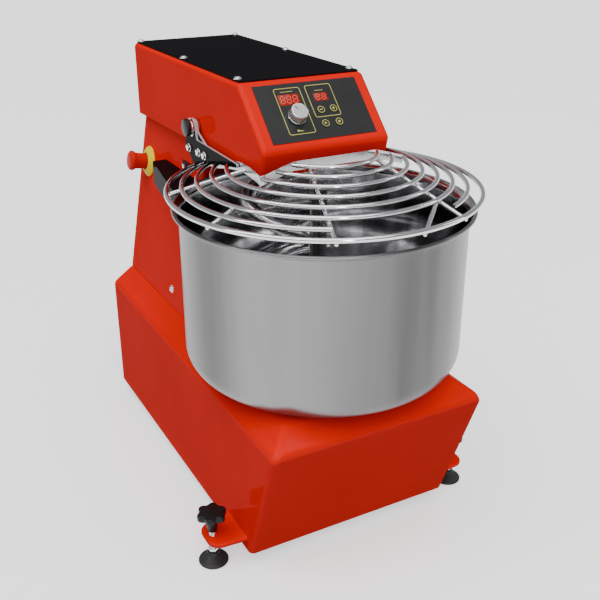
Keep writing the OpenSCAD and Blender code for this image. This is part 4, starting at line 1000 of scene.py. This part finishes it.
class MIXER_OT_guard_hinge(Operator):
    """Build the guard's arms, levers, shaft, washers, caps and bolts"""
    bl_idname = "mixer.guard_hinge"
    bl_label = "Guard hinge"

    def execute(self, context):
        outer_x, lever_x, cap_x, inner_washer_x = ARM_X + ARM_T, ARM_X - 4.05, 130.0, 113.5
        bore_r = PIVOT_SHAFT_R + 0.1
        arm = self.side_plate([(34, -32), (-4, -66), (-74, -47), (-114, -37), (-179, -26), (-179, -20),
                               (-19, -18), (-13.6, 4), (-8, 13.8), (2, 15.8), (12, 10.4), (16.4, -1)], ARM_X)
        lever = self.side_plate([(24, -30), (14, -47), (-62, -46), (-62, -28), (-14, -6), (-10, 9.6), (0, 14),
                                 (10, 9.6), (13.6, -2)], lever_x)
        piece("hinge_arms", mirrored(arm), ["black_paint", "painted_edge_highlight"], "guard", ["guard_arms"],
              weighted=True)
        cam_r, cam_low, cam_high = 18.0, 40.0, 52.0
        flat = block((-24.0, -cam_r, cam_low - 1), (-12.0, cam_r, cam_high + 1))
        cam = cut(cylinder(cam_r, cam_low, cam_high), [flat])
        shaft = joined([cylinder(PIVOT_SHAFT_R, -134.0, 134.0), cam])
        for face in shaft.faces:
            face.material_index = 2
        levers = joined([mirrored(lever), placed(shaft, at_pivot(0))])
        piece("hinge_levers", levers, ["black_paint", "painted_edge_highlight", "zinc_steel"], "guard", ["guard_shaft"],
              weighted=True)
        cap = turned([(0.0, 0.0), (14.2, 0.0), (15.0, 0.8), (15.0, 4.4), (14.2, 5.8), (12.0, 6.7),
                      (0.0, 7.0)])
        piece("hinge_caps", mirrored(placed(cap, at_pivot(cap_x))), "black_plastic", "guard", ["guard_caps"])
        outer_washer = turned([(bore_r, 0.0), (15.2, 0.0), (15.2, 1.6), (12.0, 2.0), (12.0, 3.6), (14.4, 4.0),
                               (14.4, 5.6), (bore_r, 5.6)], closed=True)
        inner_washer = turned([(bore_r, 0.0), (13.0, 0.0), (13.0, 1.6), (bore_r, 1.6)], closed=True)
        metal = [placed(outer_washer, at_pivot(outer_x + 0.1)),
                 placed(inner_washer, at_pivot(inner_washer_x))]
        for y, z in ARM_BOLTS:
            spot = at_pivot(outer_x - 0.1, y, z)
            washer = turned([(0.0, 0.0), (7.0, 0.0), (7.0, 0.9), (6.7, 1.2), (0.0, 1.2)], steps=32)
            metal += [placed(washer, spot), placed(hex_head(radius=5.6, height=5.0), spot)]
        piece("hinge_bolts", mirrored(joined(metal)), "chrome", "guard", ["guard_bolts"])
        return {"FINISHED"}

    def side_plate(self, outline, x):
        """Plate beside the head whose light grey side faces paint a highlight along its edges; its outline is
        measured from the pivot.
        """
        bm = plate(rounded_outline(outline, 2.5, steps=3), ARM_T)
        for face in bm.faces:
            # Side faces get the light grey finish that paints the edge highlight
            face.material_index = 0 if abs(face.normal.z) > 0.9 else 1
        round_edges(bm, 0.6, segments=2, least=50.0)
        back_and_up = Matrix(((0, 0, 1, 0), (1, 0, 0, 0), (0, 1, 0, 0), (0, 0, 0, 1)))
        return placed(bm, at(x, PIVOT.y, PIVOT.z) @ back_and_up)


class MIXER_OT_shield(Operator):
    """Build the black shield between the column and the bowl, with the column's side bolts"""
    bl_idname = "mixer.shield"
    bl_label = "Shield"

    def execute(self, context):
        low, high = 503.0, 546.0
        wall, edge_r, arc_r, steps = 2.5, 5.0, 240.0, 36
        front_x, front, rear_x, rear, column_front = 176.0, 169.0, 132.0, 423.0, 249.6
        side = column_half(low) + 0.4
        half_a = math.degrees(math.acos(front / arc_r))
        outline = ([(-rear_x, rear), (-front_x, front)]
                   + arc(0.0, 0.0, arc_r, 90 + half_a, -2 * half_a / steps, steps + 1)
                   + [(front_x, front), (rear_x, rear), (side, rear), (side, column_front),
                      (-side, column_front), (-side, rear)])
        cover = lifted(plate([(x, BOWL_Y + y) for x, y in outline], high - low), low)
        lean = column_half(low) - column_half(high)
        for v in cover.verts:
            if v.co.z > high - 1 and abs(abs(v.co.x) - side) < 0.1 and v.co.y > BOWL_Y + 200:
                v.co.x -= math.copysign(lean, v.co.x)
        open_side(cover, DOWN)
        round_edges(cover, edge_r, segments=4, least=30.0,
                    test=lambda e: max(abs(v.co.x) for v in e.verts) > side + 3)
        bmesh.ops.solidify(cover, geom=cover.faces[:], thickness=wall)
        tab = round_edges(block((-16, -15, 0.3), (10, 15, 2.8)), 0.6, segments=2)
        placed(tab, on_column(*SHIELD_BOLT_AT))
        piece("shield_cover", joined([cover, mirrored(tab)]), "black_paint", "frame", ["bowl_shield"],
              weighted=True)
        bolts = [placed(domed_screw(radius=6.2, height=3.6, washer_r=7.6), on_column(*COLUMN_SCREW_AT)),
                 placed(hex_head(radius=6.5, height=5.0), on_column(*SHIELD_BOLT_AT) @ at(z=2.75))]
        piece("column_bolts", mirrored(joined(bolts)), "chrome", "frame", ["side_bolts"])
        return {"FINISHED"}


class MIXER_OT_emergency_stop(Operator):
    """Build the mushroom button, its yellow collar and its housing"""
    bl_idname = "mixer.emergency_stop"
    bl_label = "Emergency stop"

    def execute(self, context):
        spot = on_column(*STOP_AT)
        disc = turned([(STOP_HOLE_R, 0.1), (29.2, 0.1), (30.0, 0.8), (30.0, 2.0), (29.2, 3.4), (27.4, 4.6),
                       (22.5, 8.5), (21.0, 9.5), (19.6, 10.0), (17.2, 10.1), (16.5, 9.6), (16.5, 2.1),
                       (STOP_HOLE_R, 2.1)], steps=72, closed=True)
        piece("stop_plate", placed(disc, spot), "stop_yellow", "frame", ["stop_disc"])
        bezel = turned([(5.05, -22.0), (11.0, -22.0), (11.0, 2.15), (15.0, 2.15), (15.0, 4.2), (5.05, 4.2)],
                       closed=True)
        contacts = round_edges(block((-17, -20, -50), (17, 20, -22)), 1.5, segments=2)
        piece("stop_base", placed(joined([bezel, contacts]), spot), "black_plastic", "frame",
              ["stop_housing"])
        cap = turned([(0.0, -16.0), (5.0, -16.0), (5.0, 9.7), (15.2, 9.7), (15.5, 10.2), (15.5, 26.0),
                      (15.8, 29.0), (17.0, 32.4), (18.6, 34.8), (19.4, 36.2), (19.5, 37.6), (19.3, 39.4),
                      (18.4, 41.2), (16.4, 42.6), (12.5, 43.8), (7.0, 44.4), (0.0, 44.5)], steps=64)
        piece("stop_mushroom", placed(cap, spot), "stop_red", "stop_button", ["stop_button"])
        return {"FINISHED"}


class MIXER_OT_feet(Operator):
    """Build the jack feet: lugs, threaded screws, star knobs and ribbed pads"""
    bl_idname = "mixer.feet"
    bl_label = "Feet"

    def execute(self, context):
        tip_x, tip_r, hole_r = -231.0, 22.0, 6.05
        root_x = 1.0 - BASE_HALF
        outline = [point for y in (-73.0, -52.0) for point in arc(tip_x, BOWL_Y + y, tip_r, 0, 6, 60)]
        outline += [(root_x, BOWL_Y - 98.0), (root_x, BOWL_Y - 16.0)]
        lug = hull([(x, y, z) for x, y in outline for z in (LUG_LOW, LUG_HIGH)])
        round_edges(lug, 2.2, segments=4, least=50.0,
                    test=lambda e: min(v.co.x for v in e.verts) < -BASE_HALF)
        hole = placed(cylinder(hole_r, 30, 60, sides=40), at(-FOOT_X, FOOT_Y))
        piece("lug_plates", mirrored(cut(lug, [hole])), "red_paint", "frame", ["foot_lugs"], weighted=True)
        for side, x in (("left", -FOOT_X), ("right", FOOT_X)):
            spot = at(x, FOOT_Y)
            piece(side + "_spindle", placed(self.spindle(), spot), "chrome", side + "_screw",
                  [side + "_foot_screw"])
            piece(side + "_star", placed(self.star_knob(), spot), "black_plastic", side + "_screw",
                  smooth=40.0)
            piece(side + "_pad_cone", placed(self.pad(), spot), "rubber", side + "_pad", [side + "_foot_pad"],
                  smooth=25.0)
        return {"FINISHED"}

    def spindle(self):
        """Threaded screw with a hexagon collar."""
        pitch, root_r, crest_r = 1.75, 5.5, 5.98
        thread_low, thread_high, top = 27.4, 62.0, 64.5
        profile = [(0.0, 9.0), (4.4, 9.0), (5.0, 9.6), (5.0, 21.0)]
        z = thread_low
        while z < thread_high:
            profile += [(root_r, z), (crest_r, z + pitch * 0.4), (crest_r, z + pitch * 0.6)]
            z += pitch
        profile += [(root_r, top), (0.0, top)]
        collar = lifted(hex_head(radius=8.6, height=6.4), 21.0)
        return joined([turned(profile, steps=32), collar])

    def star_knob(self):
        """Knob with six lobes on a flared boss."""
        lobes, low, height = 6, 87.0, 12.6
        star = bmesh.new()
        rim = bmesh.ops.create_circle(star, cap_ends=True, radius=1.0, segments=20 * lobes)["verts"]
        for v in rim:
            a = math.atan2(v.co.y, v.co.x)
            reach = 22.5 + 2.5 * math.cos(lobes * a) - 0.3 * math.cos(2 * lobes * a)
            v.co = Vector((reach * math.cos(a), reach * math.sin(a), 0.0))
        round_edges(raised(star, height), 3.2, segments=5, least=60.0)
        lifted(star, low)
        boss = turned([(6.0, 62.0), (7.6, 62.0), (8.2, 62.8), (9.4, 74.0), (11.4, 83.0), (14.6, 88.0),
                       (6.0, 88.0)], steps=40, closed=True)
        disc = turned([(0.0, 99.0), (15.0, 99.0), (13.6, 99.7), (9.0, 99.95), (0.0, 100.0)])
        return joined([star, boss, disc])

    def pad(self):
        """Rubber cone with ribs, hollow where the screw's end sits in it."""
        ribs = 7
        profile = [(0.0, 0.0), (23.6, 0.0), (24.6, 0.6), (25.0, 1.4), (25.0, 3.2), (24.4, 4.4), (23.0, 5.0)]
        for i in range(ribs):
            r, z = 22.4 - 12.0 * i / ribs, 5.4 + 11.0 * i / ribs
            profile += [(r, z), (r - 0.2, z + 0.9), (r - 1.0, z + 1.1)]
        profile += [(10.0, 17.2), (10.0, 19.4), (9.4, 20.0), (5.05, 20.0), (5.05, 8.0), (0.0, 8.0)]
        return turned(profile, steps=64)


class MIXER_OT_rear(Operator):
    """Build the louvre hoods of the rear cover and the cable gland"""
    bl_idname = "mixer.rear"
    bl_label = "Rear"

    def execute(self, context):
        louvres, pitch, half = 9, 14.0, 50.0
        low, high = node_box("rear_cover")
        first_z = (low.z + high.z - louvres * pitch) / 2
        y = high.y - 0.02
        hoods = []
        for i in range(louvres):
            wedge = hull([(x, y + out, first_z + i * pitch + up) for x in (-half, half)
                          for out, up in ((0.0, 9.0), (0.0, 4.6), (4.6, -0.5), (4.6, 0.7))])
            hoods.append(round_edges(wedge, 0.5, segments=2, least=30.0))
        piece("louvre_hoods", joined(hoods), "red_paint", "frame")
        spot = at(-110.0, REAR_Y, 110.0) @ Matrix.Rotation(-math.pi / 2, 4, "X")
        nut = turned([(5.5, -12.0), (10.0, -12.0), (10.0, 0.0), (12.0, 0.0), (12.0, 5.0), (13.0, 5.2),
                      (13.0, 12.6), (11.2, 14.6), (9.0, 16.0), (5.5, 16.0)], closed=True)
        flange = cut(lifted(hex_head(radius=17.0, height=5.0), 0.02), [cylinder(11.0, -5, 20)])
        grips = 16
        ribs = []
        for i in range(grips):
            rib = round_edges(block((12.4, -0.8, 5.6), (13.9, 0.8, 12.0)), 0.3, segments=2)
            ribs.append(placed(rib, Matrix.Rotation(math.tau * i / grips, 4, "Z")))
        piece("gland_body", placed(joined([nut, flange] + ribs), spot), "black_plastic", "frame",
              ["cable_gland"])
        return {"FINISHED"}


class MIXER_OT_stage(Operator):
    """Lay the floor, and set the lights and the camera"""
    bl_idname = "mixer.stage"
    bl_label = "Stage"

    def execute(self, context):
        scene = context.scene
        settings = scene.mixer_stage
        target = Vector((0.0, -0.1, 0.4))
        self.lay_floor(settings)
        world = bpy.data.worlds.new("room")
        world.use_nodes = True
        set_inputs(world.node_tree.nodes["Background"],
                   {"Color": (0.96, 0.97, 1.0, 1.0), "Strength": settings.room})
        scene.world = world
        soft = bpy.data.lights.new("top_light", "SUN")
        soft.energy = settings.top_light
        soft.angle = math.radians(70.0)
        self.aim(scene, soft, (0.0, 0.0, 0.0), (0.2, 0.25, -1.0))
        for name, power, spot in (("front_light", settings.front_light, (-0.6, -2.7, 1.5)),
                                  ("right_light", settings.side_light, (2.3, -0.9, 1.4)),
                                  ("left_light", settings.side_light, (-1.3, -0.1, 1.5))):
            lamp = bpy.data.lights.new(name, "AREA")
            lamp.energy = power
            lamp.shape = "RECTANGLE"
            lamp.size, lamp.size_y = 0.16, 1.7
            self.aim(scene, lamp, spot, target - Vector(spot))
        self.set_camera(scene)
        return {"FINISHED"}

    def lay_floor(self, settings):
        """Wide pale floor with a little glow of its own."""
        bm = bmesh.new()
        bmesh.ops.create_grid(bm, x_segments=1, y_segments=1, size=30.0)
        floor = new_object("floor", bm)
        paint = finish("floor_paint", tuple(settings.floor), 0.6, tint=0.01, tint_scale=1.0, grain=60.0,
                       bump=0.0, glow=settings.floor_glow)
        floor.data.materials.append(paint)
        floor.visible_diffuse = False

    def aim(self, scene, lamp, spot, direction):
        """Place a light so that it shines one way."""
        obj = bpy.data.objects.new(lamp.name, lamp)
        obj.location = spot
        obj.rotation_euler = Vector(direction).to_track_quat("-Z", "Y").to_euler()
        scene.collection.objects.link(obj)

    def set_camera(self, scene):
        """Camera that sees the machine as the photo does."""
        camera = bpy.data.cameras.new("camera")
        camera.sensor_width = SENSOR_WIDTH
        camera.lens = CAMERA_FOCUS / PHOTO_WIDTH * SENSOR_WIDTH
        camera.clip_start = 0.05
        view = bpy.data.objects.new("camera", camera)
        turn, tilt = math.radians(CAMERA_TURN), math.radians(CAMERA_TILT)
        ahead = Vector((math.sin(turn) * math.cos(tilt), math.cos(turn) * math.cos(tilt), -math.sin(tilt)))
        right = Vector((math.cos(turn), -math.sin(turn), 0.0))
        axes = Matrix((right, right.cross(ahead), -ahead)).transposed().to_4x4()
        view.matrix_world = at(*CAMERA_AT) @ axes
        scene.collection.objects.link(view)
        scene.camera = view


SETTINGS = {
    "mixer_sheet": MixerSheetSettings,
    "mixer_bowl": MixerBowlSettings,
    "mixer_guard": MixerGuardSettings,
    "mixer_panel": MixerPanelSettings,
    "mixer_stage": MixerStageSettings,
}
OPERATORS = (
    MIXER_OT_finishes, MIXER_OT_base, MIXER_OT_column, MIXER_OT_head, MIXER_OT_top_plate, MIXER_OT_panel,
    MIXER_OT_speed_knob, MIXER_OT_keys, MIXER_OT_bowl, MIXER_OT_spiral, MIXER_OT_guard, MIXER_OT_guard_hinge,
    MIXER_OT_shield, MIXER_OT_emergency_stop, MIXER_OT_feet, MIXER_OT_rear, MIXER_OT_stage,
)


class MIXER_PT_panel(Panel):
    """Sidebar list of the mixer's pieces and settings"""
    bl_idname = "MIXER_PT_panel"
    bl_label = "Spiral Dough Mixer"
    bl_space_type = "VIEW_3D"
    bl_region_type = "UI"
    bl_category = "Mixer"

    def draw(self, context):
        for operator in OPERATORS:
            self.layout.operator(operator.bl_idname)
        for key, group in SETTINGS.items():
            box = self.layout.box()
            for name in group.__annotations__:
                box.prop(getattr(context.scene, key), name)


CLASSES = (*SETTINGS.values(), *OPERATORS, MIXER_PT_panel)


def register():
    """Add the classes and the scene's settings."""
    for kind in CLASSES:
        bpy.utils.register_class(kind)
    for key, group in SETTINGS.items():
        setattr(bpy.types.Scene, key, PointerProperty(type=group))


def unregister():
    """Take the scene's settings and the classes away again."""
    for key in SETTINGS:
        delattr(bpy.types.Scene, key)
    for kind in reversed(CLASSES):
        bpy.utils.unregister_class(kind)


def main():
    """Build every piece and the stage."""
    register()
    for operator in OPERATORS:
        group, name = operator.bl_idname.split(".")
        getattr(getattr(bpy.ops, group), name)()


if __name__ == "__main__":
    main()
